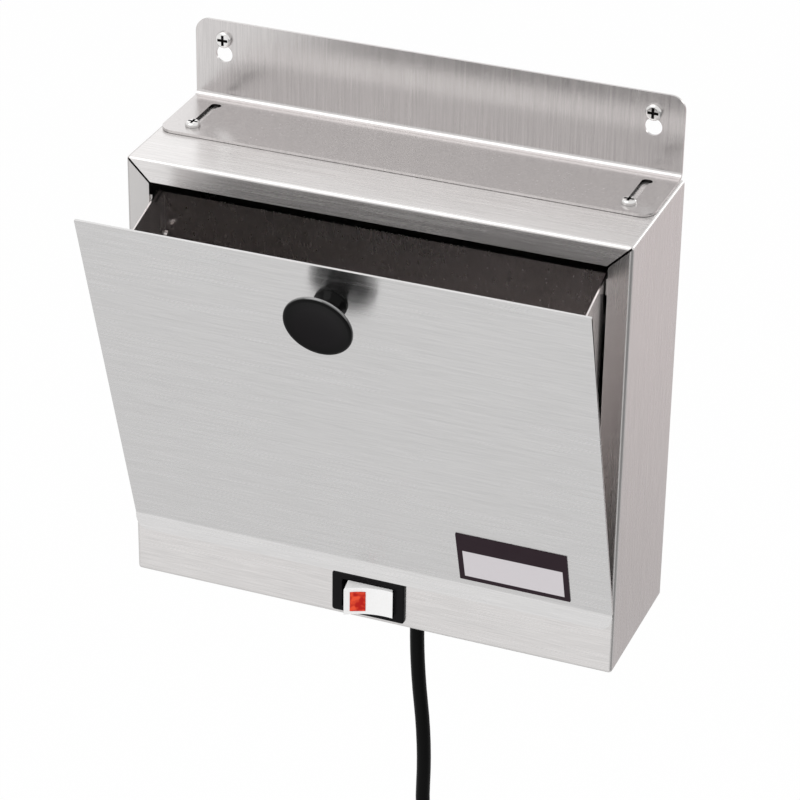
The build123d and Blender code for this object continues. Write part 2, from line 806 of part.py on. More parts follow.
def make_switch_housing():
    half = switch_body_width / 2
    tall = switch_body_height / 2
    low = switch_height - tall
    high = switch_height + tall
    body = block(-half, half, -case_depth, switch_back, low, high)
    wide = bezel_width / 2
    deep = bezel_height / 2
    bezel = block(-wide, wide, bezel_front, -case_depth, switch_height - deep, switch_height + deep)
    bezel = fillet(bezel.edges().filter_by(Axis.Y), bezel_corner * 1.5)
    bezel = chamfer(bezel.edges().group_by(Axis.Y)[0], bezel_corner * 0.5)
    housing = body + bezel
    open_half = switch_opening_width / 2
    open_tall = switch_opening_height / 2
    cavity_end = switch_back - switch_back_wall
    housing -= block(-open_half, open_half, bezel_front - past, cavity_end,
                     switch_height - open_tall, switch_height + open_tall)
    for side in (-1, 1):
        start = switch_height + side * (open_tall - past)
        end = switch_height + side * (open_tall + trunnion_length)
        housing -= rod_z(trunnion_radius + running_gap, 0, rocker_y, start, end)
    for row in (-1, 0, 1):
        housing -= terminal_blade(row, hole_gap, switch_back, cavity_end - past)
    rise = switch_catch_width / 2
    ramp = block(half, half + switch_catch, front_inner + side_gap, front_inner + switch_catch_depth,
                 switch_height - rise, switch_height + rise)
    back_edge = ramp.edges().filter_by(Axis.Z).group_by(Axis.Y)[-1].group_by(Axis.X)[-1]
    ramp = chamfer(back_edge, switch_catch * 0.78)
    return housing + both_sides(ramp)


def terminal_blade(row, grow, y_back, y_front):
    """One spade terminal; grow makes its slot."""
    half = terminal_sheet / 2 + grow
    tall = terminal_width / 2 + grow
    x = row * terminal_spacing
    return block(x - half, x + half, y_front, y_back, terminal_height - tall, terminal_height + tall)


def make_switch_terminals():
    cavity_end = switch_back - switch_back_wall
    blades = []
    for row in (-1, 0, 1):
        front = cavity_end - (contact_stand if row == 0 else terminal_stand)
        blades.append(terminal_blade(row, 0, terminal_end, front))
    return blades


def make_contact_arm():
    cavity_end = switch_back - switch_back_wall
    half = contact_length / 2
    wide = contact_width / 2
    back = cavity_end - contact_stand
    return block(-half, half, back - contact_sheet, back, switch_height - wide, switch_height + wide)


def rocker_profile():
    """The rocker seen from above, centred on its pivot, its dished face towards -Y."""
    half = rocker_width / 2
    ends = -rocker_face_drop - rocker_face_rise
    face = ThreePointArc((-half, ends), (0, -rocker_face_drop), (half, ends))
    taper = half - rocker_taper
    back = Polyline((half, ends), (taper, rocker_back), (-taper, rocker_back), (-half, ends))
    return make_face(Curve() + [face, back])


def lens_place():
    """X of the lens's middle and its depth on the dished face, from the pivot."""
    half = rocker_width / 2
    x = lens_from_end + lens_width / 2 - half
    slope = math.atan2(2 * rocker_face_rise * abs(x), half * half)
    return x, -rocker_face_drop - rocker_face_rise * (x / half) ** 2, math.degrees(slope)


def tip_rocker(shape):
    """Turn a piece of the rocker from its middle to its rest tilt."""
    return shape.rotate(Axis((0, rocker_y, 0), (0, 0, 1)), rocker_tilt)


def make_rocker():
    tall = switch_opening_height / 2 - rocker_gap
    low = level(switch_height - tall)
    body = Pos(0, rocker_y, low) * extrude(rocker_profile(), amount=2 * tall)
    body = fillet(body.edges().group_by(Axis.Z)[-1], 0.5)
    body = fillet(body.edges().group_by(Axis.Z)[0], 0.5)
    half = rocker_plunger_width / 2
    plunger_end = rocker_y + rocker_plunger
    body += block(-half, half, rocker_y, plunger_end, switch_height - half, switch_height + half)
    reach = tall + rocker_gap + trunnion_length - hole_gap
    body += rod_z(trunnion_radius, 0, rocker_y, switch_height - reach, switch_height + reach)
    return tip_rocker(body - lens_block(hole_gap))


def lens_block(grow):
    """The lens before tipping; grow makes its pocket."""
    x, y, slope = lens_place()
    wide = lens_width + 2 * grow
    tall = lens_height + 2 * grow
    thick = lens_depth + lens_proud
    lens = Pos(0, (lens_depth - lens_proud) / 2, 0) * Box(wide, thick + grow, tall)
    return Pos(x, rocker_y + y, level(switch_height)) * Rot(0, 0, slope) * lens


def make_rocker_lens():
    lens = lens_block(0)
    lens = fillet(lens.edges().group_by(Axis.Y)[0], 0.3)
    return tip_rocker(lens)


# Bin and door, drawn shut and then tilted about the pivot

def behind(n):
    """Y of a depth behind the door's inner face, with the bin shut."""
    return n - case_depth - door_gap


def bin_block(x0, x1, n0, n1, s0, s1):
    """A box by depth behind the door and height above its crease, with the bin shut."""
    return block(x0, x1, behind(n0), behind(n1), shut_crease + s0, shut_crease + s1)


def tilt_out(shape):
    """Turn a piece of the bin from shut to its open rest."""
    return shape.rotate(Axis((0, pivot_y, level(pivot_height)), (1, 0, 0)), door_tilt)


def make_door_panel():
    turn = tilt + math.radians(strip_flare)
    lean = math.tan(turn / 2)
    foot = (-strip_height * math.sin(turn), -strip_height * math.cos(turn))
    out = (-door_sheet * math.cos(turn), door_sheet * math.sin(turn))
    inner = [(0, door_length), (0, 0), foot]
    outer = [(foot[0] + out[0], foot[1] + out[1]), (-door_sheet, door_sheet * lean)]
    outer.append((-door_sheet, door_length))
    points = [(behind(n), shut_crease + s) for n, s in inner + outer]
    panel = side_profile(points, -door_width / 2, door_width / 2)
    crease = (0, behind(-door_sheet), level(shut_crease))
    crease_edges = panel.edges().filter_by(Axis.X).sort_by_distance(crease)
    panel = fillet(crease_edges[0], door_sheet * 2)
    foot_drop = -foot[1]
    middle = (door_length - foot_drop) / 2
    outline = Rectangle(door_width, door_length + foot_drop)
    low_corners = outline.vertices().group_by(Axis.Y)[0]
    outline = fillet(low_corners, strip_corner)
    outline = fillet(outline.vertices().sort_by(Axis.Y)[-2:], door_corner)
    centre = (0, behind(strip_height), level(shut_crease + middle))
    plane = Plane(origin=centre, x_dir=(1, 0, 0), z_dir=(0, -1, 0))
    trim = extrude(plane * outline, amount=strip_height * 3)
    panel = panel & trim
    knob_height_up = door_length - knob_below_top
    height = shut_crease + knob_height_up
    return panel - rod_y(slot_screw_radius + hole_gap, 0, behind(-door_sheet * 2), behind(past), height)


def bin_rivet_heights():
    """Heights of the rivets that join the back to each side."""
    span = bin_height - bin_floor_height
    return [bin_floor_height + span * (row + 0.5) / rivet_rows for row in range(rivet_rows)]


def bin_rivet_places():
    """Depth and height of each rivet on one side: up the back, then one in the floor's flange."""
    n = bin_depth - bin_sheet - bin_lap / 2
    places = [(n, s) for s in bin_rivet_heights()]
    return places + [(bin_depth / 2, bin_floor_height + bin_sheet + bin_floor_lap / 2)]


def side_outline():
    """Outline of a bin side by depth and height, with the pivot lobe at its foot."""
    lobe = ear_radius - lobe_inset
    front = pivot_behind_door - lobe
    back = pivot_behind_door + lobe
    drop = pivot_up_door
    line = [(0, bin_floor_height), (front, bin_floor_height), (front, drop)]
    arc = [(pivot_behind_door + lobe * math.cos(a), drop + lobe * math.sin(a))
           for a in [math.radians(180 + 15 * step) for step in range(1, 12)]]
    rest = [(back, drop), (back + lobe_slope, bin_floor_height), (bin_depth, bin_floor_height)]
    return line + arc + rest + [(bin_depth, bin_height), (0, bin_height)]


def make_bin_side():
    """The right-hand side plate with its front flange turned outwards."""
    points = [(behind(n), shut_crease + s) for n, s in side_outline()]
    plate = side_profile(points, bin_inner, bin_half)
    flange = bin_block(bin_inner, bin_half + bin_flange, 0, bin_sheet, bin_floor_height, bin_height)
    side = plate + flange
    side -= rod_x(bush_radius, bin_inner - past, bin_half + past, pivot_y, pivot_height)
    for n, s in bin_rivet_places():
        side -= rod_x(rivet_radius, bin_inner - past, bin_half + past, behind(n), shut_crease + s)
    return side


def make_bin_back():
    top = bin_height - bin_back_drop
    low = bin_floor_height + bin_sheet + bin_floor_lap + bin_lap_gap
    rear = bin_depth - bin_sheet
    back = bin_block(-bin_inner, bin_inner, rear, bin_depth, bin_floor_height, top)
    lap_inner = bin_inner - bin_sheet
    back += both_sides(bin_block(lap_inner, bin_inner, rear - bin_lap, rear, low, top))
    for n, s in bin_rivet_places()[:-1]:
        hole = rod_x(rivet_radius, lap_inner - past, bin_inner + past, behind(n), shut_crease + s)
        back -= both_sides(hole)
    return back


def make_bin_floor():
    rear = bin_depth - bin_sheet
    base = bin_floor_height
    top = base + bin_sheet + bin_floor_lap
    floor = bin_block(-bin_inner, bin_inner, 0, rear, base, base + bin_sheet)
    lap_inner = bin_inner - bin_sheet
    lap_ends = bin_sheet + bin_lap_gap
    floor += both_sides(bin_block(lap_inner, bin_inner, lap_ends, rear - lap_ends, base, top))
    lap_half = lap_inner - bin_lap_gap
    floor += bin_block(-lap_half, lap_half, 0, bin_sheet, base, top)
    floor += bin_block(-lap_half, lap_half, rear - bin_sheet, rear, base, top)
    n, s = bin_rivet_places()[-1]
    hole = rod_x(rivet_radius, lap_inner - past, bin_inner + past, behind(n), shut_crease + s)
    return floor - both_sides(hole)


def make_bin_rivets():
    rivets = []
    inner = bin_inner - bin_sheet
    for n, s in bin_rivet_places():
        y = behind(n)
        h = shut_crease + s
        rivet = rod_x(rivet_radius, inner, bin_half, y, h)
        rivet += rod_x(rivet_head_radius, bin_half, bin_half + rivet_head, y, h)
        rivet += rod_x(rivet_tail_radius, inner - rivet_head, inner, y, h)
        rivets += [rivet, mirror(rivet, about=Plane.YZ)]
    return rivets


def make_pivot_bushes():
    sleeve_end = bin_inner - side_gap / 2
    bush = rod_x(bush_radius, sleeve_end, bin_half, pivot_y, pivot_height)
    flange_end = bin_half + bush_flange
    bush += rod_x(bush_flange_radius, bin_half, flange_end, pivot_y, pivot_height)
    bush -= rod_x(pin_radius + running_gap, sleeve_end - past, flange_end + past, pivot_y, pivot_height)
    return both_sides(bush)


def knob_axis():
    return Pos(0, behind(-door_sheet), level(shut_crease + door_length - knob_below_top)) * Rot(90, 0, 0)


def make_knob():
    rim = knob_height
    lip = knob_radius - knob_edge
    under = rim - knob_rim - knob_edge
    waist = (knob_neck_radius + knob_edge, rim * 0.6)
    shoulder = (lip, under)
    outline = Polyline((0, 0), (knob_base_radius, 0), (knob_base_radius, knob_foot))
    neck = ThreePointArc((knob_base_radius, knob_foot), (knob_neck_radius, rim * 0.35), waist)
    flare = ThreePointArc(waist, (knob_radius * 0.66, under - knob_edge), shoulder)
    edge = ThreePointArc(shoulder, (knob_radius, rim - knob_rim / 2), (lip, rim))
    close = Polyline((lip, rim), (0, rim), (0, 0))
    face = make_face(Curve() + [outline, neck, flare, edge, close])
    body = revolve(Plane.XZ * face, axis=Axis.Z)
    dish_radius = (lip ** 2 + knob_dish ** 2) / (2 * knob_dish)
    body -= Pos(0, 0, rim - knob_dish + dish_radius) * Sphere(dish_radius)
    bore = Pos(0, 0, knob_height * 0.3) * Cylinder(slot_screw_radius, knob_height * 0.6)
    return knob_axis() * (body - bore)


def make_knob_screw():
    length = door_sheet + washer_thickness + knob_height / 2
    screw = Rot(180, 0, 0) * pan_screw(knob_screw_head_radius, screw_head, slot_screw_radius, length)
    return knob_axis() * Pos(0, 0, -door_sheet - washer_thickness) * screw


def make_knob_washer():
    middle = Pos(0, 0, -door_sheet - washer_thickness / 2)
    bore = Cylinder(slot_screw_radius + hole_gap, washer_thickness + 2 * past)
    return knob_axis() * middle * (Cylinder(washer_radius, washer_thickness) - bore)


def make_label_plate():
    plate = bin_block(label_left, label_left + label_width, -door_sheet - label_thickness, -door_sheet,
                      label_bottom, label_bottom + label_height)
    return fillet(plate.edges().filter_by(Axis.Y), label_corner)


# Mains cord: the free stretch, the tied coil and the plug

def make_strain_relief():
    low = -relief_flange / 2
    body = rod_z(relief_collar_radius, relief_x, cord_y, cover_top, cover_top + relief_collar)
    body += rod_z(relief_neck_radius, relief_x, cord_y, cover_bottom, cover_top)
    body += rod_z(relief_collar_radius, relief_x, cord_y, low, cover_bottom)
    taper_length = relief_length + low
    taper = Cone(relief_end_radius, relief_top_radius, taper_length)
    body += Pos(relief_x, cord_y, level(low - taper_length / 2)) * taper
    body += rod_z(cord_radius, relief_x, cord_y, cover_top + relief_collar, jacket_top)
    return body


# Places that the free cord turns at: x, and depth below the case's bottom
cord_route = [(relief_x, relief_length), (relief_x, 50.0), (18.6, 106.0), (16.8, 160.7)]
ring_join_run = 27.0
ring_join_turn = 30.0
cord_bend_share = 0.45


def step(angle, length):
    """A step at an angle from straight down, towards +X, as x and depth."""
    turn = math.radians(angle)
    return length * math.sin(turn), length * math.cos(turn)


def cord_points():
    """The free cord's corners as (x, depth), down to where it joins the ring."""
    points = list(cord_route)
    for turn in (ring_join_turn, 2 * ring_join_turn):
        dx, down = step(turn, ring_join_run)
        points.append((points[-1][0] + dx, points[-1][1] + down))
    return points


def lead_in():
    """Radius of the ring's first arc, and how far its middle lies to the left of the ring's."""
    shift = ring_pitch / 4
    return ring_radius + shift, shift


def ring_centre():
    """X and depth of the ring's middle, from the place where the cord joins it."""
    x, depth = cord_points()[-1]
    radius, shift = lead_in()
    turn = math.radians(ring_lead_in)
    return x - radius * math.cos(turn) + shift, depth + radius * math.sin(turn)


def cord_radii(points):
    """One bend radius for each corner, 0.45 of the shorter run over the tangent of half its turn."""
    radii = []
    for before, here, after in zip(points, points[1:], points[2:]):
        first = Vector(here[0] - before[0], here[1] - before[1])
        second = Vector(after[0] - here[0], after[1] - here[1])
        half_turn = math.radians(first.get_angle(second)) / 2
        radii.append(cord_bend_share * min(first.length, second.length) / math.tan(half_turn))
    return radii


def make_cord():
    points = cord_points()
    radii = cord_radii(points)
    print("cord bend radii", [round(r, 1) for r in radii], "least allowed", 10 * cord_radius)
    path = FilletPolyline(*[(x, cord_y, level(-depth)) for x, depth in points], radius=radii)
    tube = sweep(Plane(origin=path @ 0, z_dir=path % 0) * Circle(cord_radius), path=path)
    print("free cord length", round(path.length, 1), "volume over section x length",
          round(tube.volume / (math.pi * cord_radius ** 2 * path.length), 5))
    return tube


def quarter(start, corner, end):
    """A quarter arc from start to end, whose tangents meet at corner."""
    middle = start + end - corner
    return ThreePointArc(start, middle + (corner - middle) * math.sqrt(0.5), end)


def half_turn(start, end, heading):
    """Two quarter arcs from start to end, leaving along heading and arriving against it."""
    reach = (end - start).length / 2
    first = start + heading * reach
    second = end + heading * reach
    top = (first + second) / 2
    return [quarter(start, first, top), quarter(top, second, end)]


def ring_radii():
    """Distance from the ring's middle at each half turn: in, across to the back layer, and out."""
    radii = [ring_radius - ring_pitch / 2 * turn for turn in range(turns_in + 1)]
    radii[-1] -= ring_reverse_inset
    inner = radii[-1]
    outward = [radii[-2] + ring_pitch / 2 * turn for turn in range(turns_out)]
    return radii + [inner] + outward


def coil_arcs():
    cx, depth = ring_centre()
    centre = Vector(cx, cord_y, level(-depth))
    back = Vector(0, ring_layer_step, 0)
    radius, shift = lead_in()
    lead_centre = centre - Vector(shift, 0, 0)
    angles = [math.radians(ring_lead_in), math.radians(ring_lead_in / 2)]
    start, middle = [lead_centre + Vector(math.cos(a), 0, math.sin(a)) * radius for a in angles]
    right = centre + Vector(ring_radius, 0, 0)
    arcs = [ThreePointArc(start, middle, right)]
    here = right
    for count, radius in enumerate(ring_radii()[1:], start=1):
        side = -1 if count % 2 else 1
        layer = back if count > turns_in else Vector(0, 0, 0)
        place = centre + Vector(side * radius, 0, 0) + layer
        arcs += half_turn(here, place, Vector(0, 0, side))
        here = place
    arcs.append(Line(here, here - Vector(0, 0, tail_length)))
    return arcs


def least_gap(path, diameter):
    """The smallest clear gap of a coil to itself, from points along it."""
    count = 1400
    points = [path.position_at(step_no / count) for step_no in range(count + 1)]
    spacing = path.length / count
    skip = int(2.5 * diameter / spacing)
    least = 1e9
    for first in range(0, count + 1, 2):
        for second in range(first + skip, count + 1):
            away = (points[first] - points[second]).length
            least = min(least, away)
    return least - diameter


def make_cord_coil():
    path = Wire(coil_arcs())
    tube = sweep(Plane(origin=path @ 0, z_dir=path % 0) * Circle(cord_radius), path=path)
    print("coil length", round(path.length, 1), "volume over section x length",
          round(tube.volume / (math.pi * cord_radius ** 2 * path.length), 5),
          "least gap", round(least_gap(path, 2 * cord_radius), 2))
    return tube


def make_cord_tie():
    cx, depth = ring_centre()
    left_sides = [radius for count, radius in enumerate(ring_radii()) if count % 2]
    outer = cx - max(left_sides) - cord_radius - tie_gap
    inner = cx - min(left_sides) + cord_radius + tie_gap
    front = cord_y - cord_radius - tie_gap
    back = cord_y + ring_layer_step + cord_radius + tie_gap
    half = tie_width / 2
    wall = tie_thickness
    band = block(outer - wall, inner + wall, front - wall, back + wall, -depth - half, -depth + half)
    band = fillet(band.edges().filter_by(Axis.Z), cord_radius)
    hole = block(outer, inner, front, back, -depth - tie_width, -depth + tie_width)
    hole = fillet(hole.edges().filter_by(Axis.Z), cord_radius - wall)
    return band - hole


def plug_place():
    """X, y and depth where the cord's tail ends in the plug."""
    cx, depth = ring_centre()
    return cx + ring_radii()[-1], cord_y + ring_layer_step, depth + tail_length


def make_plug_body():
    x, y, depth = plug_place()
    relief = Cone(plug_relief_radius, cord_radius + 0.8, plug_relief_length)
    relief = Pos(x, y, level(-depth - plug_relief_length / 2)) * relief
    top = -depth - plug_relief_length
    front = y - plug_depth / 2 + 1
    grip = block(x - plug_width / 2, x + plug_width / 2, front, front + plug_depth, top - plug_length, top)
    grip = fillet(grip.edges().filter_by(Axis.Z), plug_corner)
    grip = fillet(grip.edges().group_by(Axis.Z)[-1], plug_corner * 0.6)
    return relief + grip


def make_plug_blades():
    x, y, depth = plug_place()
    top = -depth - plug_relief_length - plug_length
    middle = y - ground_pin_offset / 3
    blades = []
    for side in (-1, 1):
        place = x + side * blade_spacing / 2
        blade = block(place - blade_thickness / 2, place + blade_thickness / 2, middle - blade_width / 2,
                      middle + blade_width / 2, top - blade_length, top)
        blades.append(chamfer(blade.edges().group_by(Axis.Z)[0], blade_thickness * 0.3))
    return blades


def make_plug_ground_pin():
    x, y, depth = plug_place()
    top = -depth - plug_relief_length - plug_length
    middle = y - ground_pin_offset / 3 + ground_pin_offset
    pin = rod_z(ground_pin_radius, x, middle, top - ground_pin_length, top)
    return fillet(pin.edges().group_by(Axis.Z)[0], ground_pin_radius * 0.8)


def save(name, shape):
    """Write one node's solids to its own file."""
    if isinstance(shape, list):
        shape = Compound(children=[piece for item in shape for piece in item.solids()])
    export_step(shape, os.path.join("parts", name + ".step"))


def left_of(shape):
    return mirror(shape, about=Plane.YZ)


def main():
    os.makedirs("parts", exist_ok=True)
    save("wall_bracket", make_wall_bracket())
    save("wall_screws", make_wall_screws())
    save("case_shell", make_case_shell())
    save("base_cover", make_base_cover())
    save("base_screws", make_base_screws())
    save("back_panel", make_back_panel())
    save("back_screws", make_back_screws())
    save("bracket_screws", make_bracket_screws())
    save("case_nuts", make_base_nuts() + [make_bracket_nuts()])
    save("heater_deck", make_heater_deck())
    save("pivot_bracket_right", make_pivot_bracket())
    save("pivot_bracket_left", left_of(make_pivot_bracket()))
    save("pivot_rivets", make_pivot_rivets())
    save("pivot_pins", make_pivot_pins())
    save("pivot_clips", make_pivot_clips())
    save("catch_spring_right", make_catch_spring())
    save("catch_spring_left", left_of(make_catch_spring()))
    save("heater_mat", make_heater_mat())
    save("mat_leads", make_mat_leads())
    save("deck_grommet", make_deck_grommet())
    save("insulation_right", make_side_insulation())
    save("insulation_left", left_of(make_side_insulation()))
    save("insulation_back", make_back_insulation())
    save("insulation_top", make_top_insulation())
    save("thermostat_body", make_thermostat_body())
    save("thermostat_strap", make_thermostat_strap())
    save("thermostat_screws", make_thermostat_screws())
    save("thermostat_terminals", make_thermostat_terminals())
    save("thermal_fuse", make_thermal_fuse())
    save("fuse_clip", make_fuse_clip())
    save("live_wire", make_live_wire())
    save("switched_wire", make_switched_wire())
    save("link_wire", make_link_wire())
    save("neutral_wire", make_neutral_wire())
    save("ground_wire", make_ground_wire())
    save("ground_ring", make_ground_ring())
    save("ground_screw", make_ground_screw())
    save("wire_splice", make_wire_splices())
    save("switch_housing", make_switch_housing())
    save("switch_terminals", make_switch_terminals())
    save("contact_arm", make_contact_arm())
    save("rocker", make_rocker())
    save("rocker_lens", make_rocker_lens())
    save("door_panel", tilt_out(make_door_panel()))
    save("label_plate", tilt_out(make_label_plate()))
    save("knob", tilt_out(make_knob()))
    save("knob_screw", tilt_out(make_knob_screw()))
    save("knob_washer", tilt_out(make_knob_washer()))
    save("bin_side_right", tilt_out(make_bin_side()))
    save("bin_side_left", tilt_out(left_of(make_bin_side())))
    save("bin_back", tilt_out(make_bin_back()))
    save("bin_floor", tilt_out(make_bin_floor()))
    save("bin_rivets", [tilt_out(rivet) for rivet in make_bin_rivets()])
    save("pivot_bushes", tilt_out(make_pivot_bushes()))
    save("strain_relief", make_strain_relief())
    save("cord", make_cord())
    save("cord_coil", make_cord_coil())
    save("cord_tie", make_cord_tie())
    save("plug", [make_plug_body()])
    save("plug_blades", make_plug_blades() + [make_plug_ground_pin()])


main()
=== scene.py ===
import json
import math

import bmesh
import bpy
from mathutils import Matrix, Vector


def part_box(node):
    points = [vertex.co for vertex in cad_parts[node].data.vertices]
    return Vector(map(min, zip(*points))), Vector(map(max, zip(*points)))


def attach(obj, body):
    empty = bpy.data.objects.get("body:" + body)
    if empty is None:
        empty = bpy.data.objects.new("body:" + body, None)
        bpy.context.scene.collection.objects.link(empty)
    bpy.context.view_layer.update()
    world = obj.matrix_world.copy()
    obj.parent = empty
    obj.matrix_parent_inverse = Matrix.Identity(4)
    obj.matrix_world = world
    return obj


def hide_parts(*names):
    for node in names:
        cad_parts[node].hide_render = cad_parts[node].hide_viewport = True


# Wall-mounted lotion warmer in brushed stainless steel. Metres, +X right, +Y into the wall, +Z up.

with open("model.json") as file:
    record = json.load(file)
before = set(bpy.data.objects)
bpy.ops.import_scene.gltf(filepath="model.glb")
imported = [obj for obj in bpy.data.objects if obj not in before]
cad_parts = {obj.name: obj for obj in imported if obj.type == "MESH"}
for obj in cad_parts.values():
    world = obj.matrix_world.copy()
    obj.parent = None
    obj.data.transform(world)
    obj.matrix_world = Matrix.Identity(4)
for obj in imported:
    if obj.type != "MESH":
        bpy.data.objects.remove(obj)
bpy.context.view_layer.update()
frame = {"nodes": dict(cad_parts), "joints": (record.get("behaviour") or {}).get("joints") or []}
nodes = frame["nodes"]
joints = {joint["name"]: joint for joint in frame["joints"]}
caseLow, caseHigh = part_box("case_shell")
scene = bpy.context.scene
scene.view_settings.view_transform = "Standard"
mm = 0.001
# Two heights or places this near are the same
touching = 1e-6


# Camera, at the photograph's angle
cameraSettings = {
    "place": (0.56195, -1.50340, 0.69730),
    "turn": 0.3677,
    "pitch": 1.0666,
    "roll": 0.0155,
    "lens": 148.32,
    "sensor": 36.0,
    "nearest": 0.05,
}


def makeCamera(settings):
    data = bpy.data.cameras.new("camera")
    data.lens = settings["lens"]
    data.sensor_width = settings["sensor"]
    data.clip_start = settings["nearest"]
    camera = bpy.data.objects.new("camera", data)
    turn = Matrix.Rotation(settings["turn"], 4, "Z")
    turn = turn @ Matrix.Rotation(settings["pitch"], 4, "X") @ Matrix.Rotation(settings["roll"], 4, "Z")
    camera.matrix_world = Matrix.Translation(settings["place"]) @ turn
    scene.collection.objects.link(camera)
    scene.camera = camera


makeCamera(cameraSettings)
print("camera placed")


# The tilting bin, which rests open
def hingeTurn(joint, degrees):
    pivot = Matrix.Translation(joint["pos_m"])
    return pivot @ Matrix.Rotation(math.radians(degrees), 4, Vector(joint["axis"])) @ pivot.inverted()


openBin = hingeTurn(joints["bin_tilt"], -joints["bin_tilt"]["range_deg"][0])


def shutBox(name):
    # A node's lowest and highest corners with the bin shut
    shut = openBin.inverted()
    points = [shut @ vertex.co for vertex in nodes[name].data.vertices]
    low = Vector([min(point[i] for point in points) for i in range(3)])
    high = Vector([max(point[i] for point in points) for i in range(3)])
    return low, high


# Modelling helpers
def finishMesh(name, mesh, body, material, replaced, smooth=35.0):
    data = bpy.data.meshes.new(name)
    mesh.to_mesh(data)
    mesh.free()
    data.materials.append(material)
    data.shade_smooth()
    data.set_sharp_from_angle(angle=math.radians(smooth))
    piece = bpy.data.objects.new(name, data)
    scene.collection.objects.link(piece)
    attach(piece, body)
    if replaced:
        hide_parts(*replaced)
    return piece


def spinProfile(profile, steps):
    # A turned piece about Z from (radius, height) places, closed at both ends
    mesh = bmesh.new()
    corners = [mesh.verts.new((radius, 0, height)) for radius, height in profile]
    edges = [mesh.edges.new(pair) for pair in zip(corners, corners[1:])]
    bmesh.ops.spin(mesh, geom=corners + edges, cent=(0, 0, 0), axis=(0, 0, 1), angle=2 * math.pi,
                   steps=steps, use_merge=True)
    bmesh.ops.remove_doubles(mesh, verts=mesh.verts, dist=touching)
    bmesh.ops.recalc_face_normals(mesh, faces=mesh.faces)
    return mesh


def roundEdges(mesh, edges, offset, segments):
    bmesh.ops.bevel(mesh, geom=list(edges), offset=offset, offset_type="OFFSET", segments=segments,
                    profile=0.5, affect="EDGES", material=-1, clamp_overlap=True)


def makeBox(low, high):
    mesh = bmesh.new()
    matrix = Matrix.Translation((low + high) / 2) @ Matrix.Diagonal((*(high - low), 1.0))
    bmesh.ops.create_cube(mesh, size=1.0, matrix=matrix)
    return mesh


def atHeight(vertex, level):
    return abs(vertex.co.z - level) < touching


def levelEdge(edge):
    return atHeight(edge.verts[0], edge.verts[1].co.z)


# Shader helpers
def addNode(tree, kind, **values):
    made = tree.nodes.new(kind)
    for name, value in values.items():
        setattr(made, name, value)
    return made


def setInputs(node, **values):
    for name, value in values.items():
        node.inputs[name].default_value = value
    return node


def joinSockets(tree, pairs):
    for start, end in pairs:
        tree.links.new(start, end)


def mathNode(tree, operation, first, second=None):
    node = addNode(tree, "ShaderNodeMath", operation=operation)
    for slotNo, value in enumerate((first, second)):
        if value is None:
            continue
        if isinstance(value, (int, float)):
            node.inputs[slotNo].default_value = value
        else:
            tree.links.new(value, node.inputs[slotNo])
    return node.outputs[0]


def splitPlace(tree, place):
    # The three parts of a place or a direction, as sockets
    parts = addNode(tree, "ShaderNodeSeparateXYZ")
    tree.links.new(place, parts.inputs[0])
    return parts.outputs


def rangeNode(tree, value, low, high, fromLow=0.0, fromHigh=1.0):
    node = addNode(tree, "ShaderNodeMapRange")
    node.inputs["From Min"].default_value = fromLow
    node.inputs["From Max"].default_value = fromHigh
    node.inputs["To Min"].default_value = low
    node.inputs["To Max"].default_value = high
    tree.links.new(value, node.inputs["Value"])
    return node.outputs["Result"]


def mixColour(tree, share, first, second):
    node = addNode(tree, "ShaderNodeMix", data_type="RGBA")
    for socket, value in ((node.inputs[0], share), (node.inputs[6], first), (node.inputs[7], second)):
        if isinstance(value, tuple):
            socket.default_value = (*value, 1.0)
        else:
            tree.links.new(value, socket)
    return node.outputs[2]


def mixValues(tree, share, first, second):
    node = addNode(tree, "ShaderNodeMix", data_type="FLOAT")
    joinSockets(tree, [(share, node.inputs[0]), (first, node.inputs[2]), (second, node.inputs[3])])
    return node.outputs[0]


def mixDirections(tree, share, first, second):
    node = addNode(tree, "ShaderNodeMix", data_type="VECTOR")
    joinSockets(tree, [(share, node.inputs[0]), (first, node.inputs[4]), (second, node.inputs[5])])
    return node.outputs[1]


def newGroup(name, inputs, outputs):
    group = bpy.data.node_groups.new(name, "ShaderNodeTree")
    for label, kind, value in inputs:
        socket = group.interface.new_socket(name=label, in_out="INPUT", socket_type=kind)
        if value is not None:
            socket.default_value = value
    for label, kind in outputs:
        group.interface.new_socket(name=label, in_out="OUTPUT", socket_type=kind)
    return group, group.nodes.new("NodeGroupInput"), group.nodes.new("NodeGroupOutput")


def useGroup(tree, group, **values):
    node = addNode(tree, "ShaderNodeGroup", node_tree=group)
    for label, value in values.items():
        socket = node.inputs[label]
        if isinstance(value, bpy.types.NodeSocket):
            tree.links.new(value, socket)
        else:
            socket.default_value = value
    return node


def newMaterial(name, colour, roughness, metallic):
    material = bpy.data.materials.new(name)
    material.use_nodes = True
    tree = material.node_tree
    shader = tree.nodes["Principled BSDF"]
    shader.inputs["Base Color"].default_value = (*colour, 1.0)
    shader.inputs["Roughness"].default_value = roughness
    shader.inputs["Metallic"].default_value = metallic
    coordinates = addNode(tree, "ShaderNodeTexCoord").outputs["Object"]
    return material, tree, shader, coordinates


# Fine brushed lines and broader streaks, longest along the axis whose stretch is smallest
grainNoises = {
    "Lines": {"Scale": 100.0, "Detail": 2.0, "Roughness": 0.6},
    "Streaks": {"Scale": 26.0, "Detail": 2.0, "Roughness": 0.55},
}


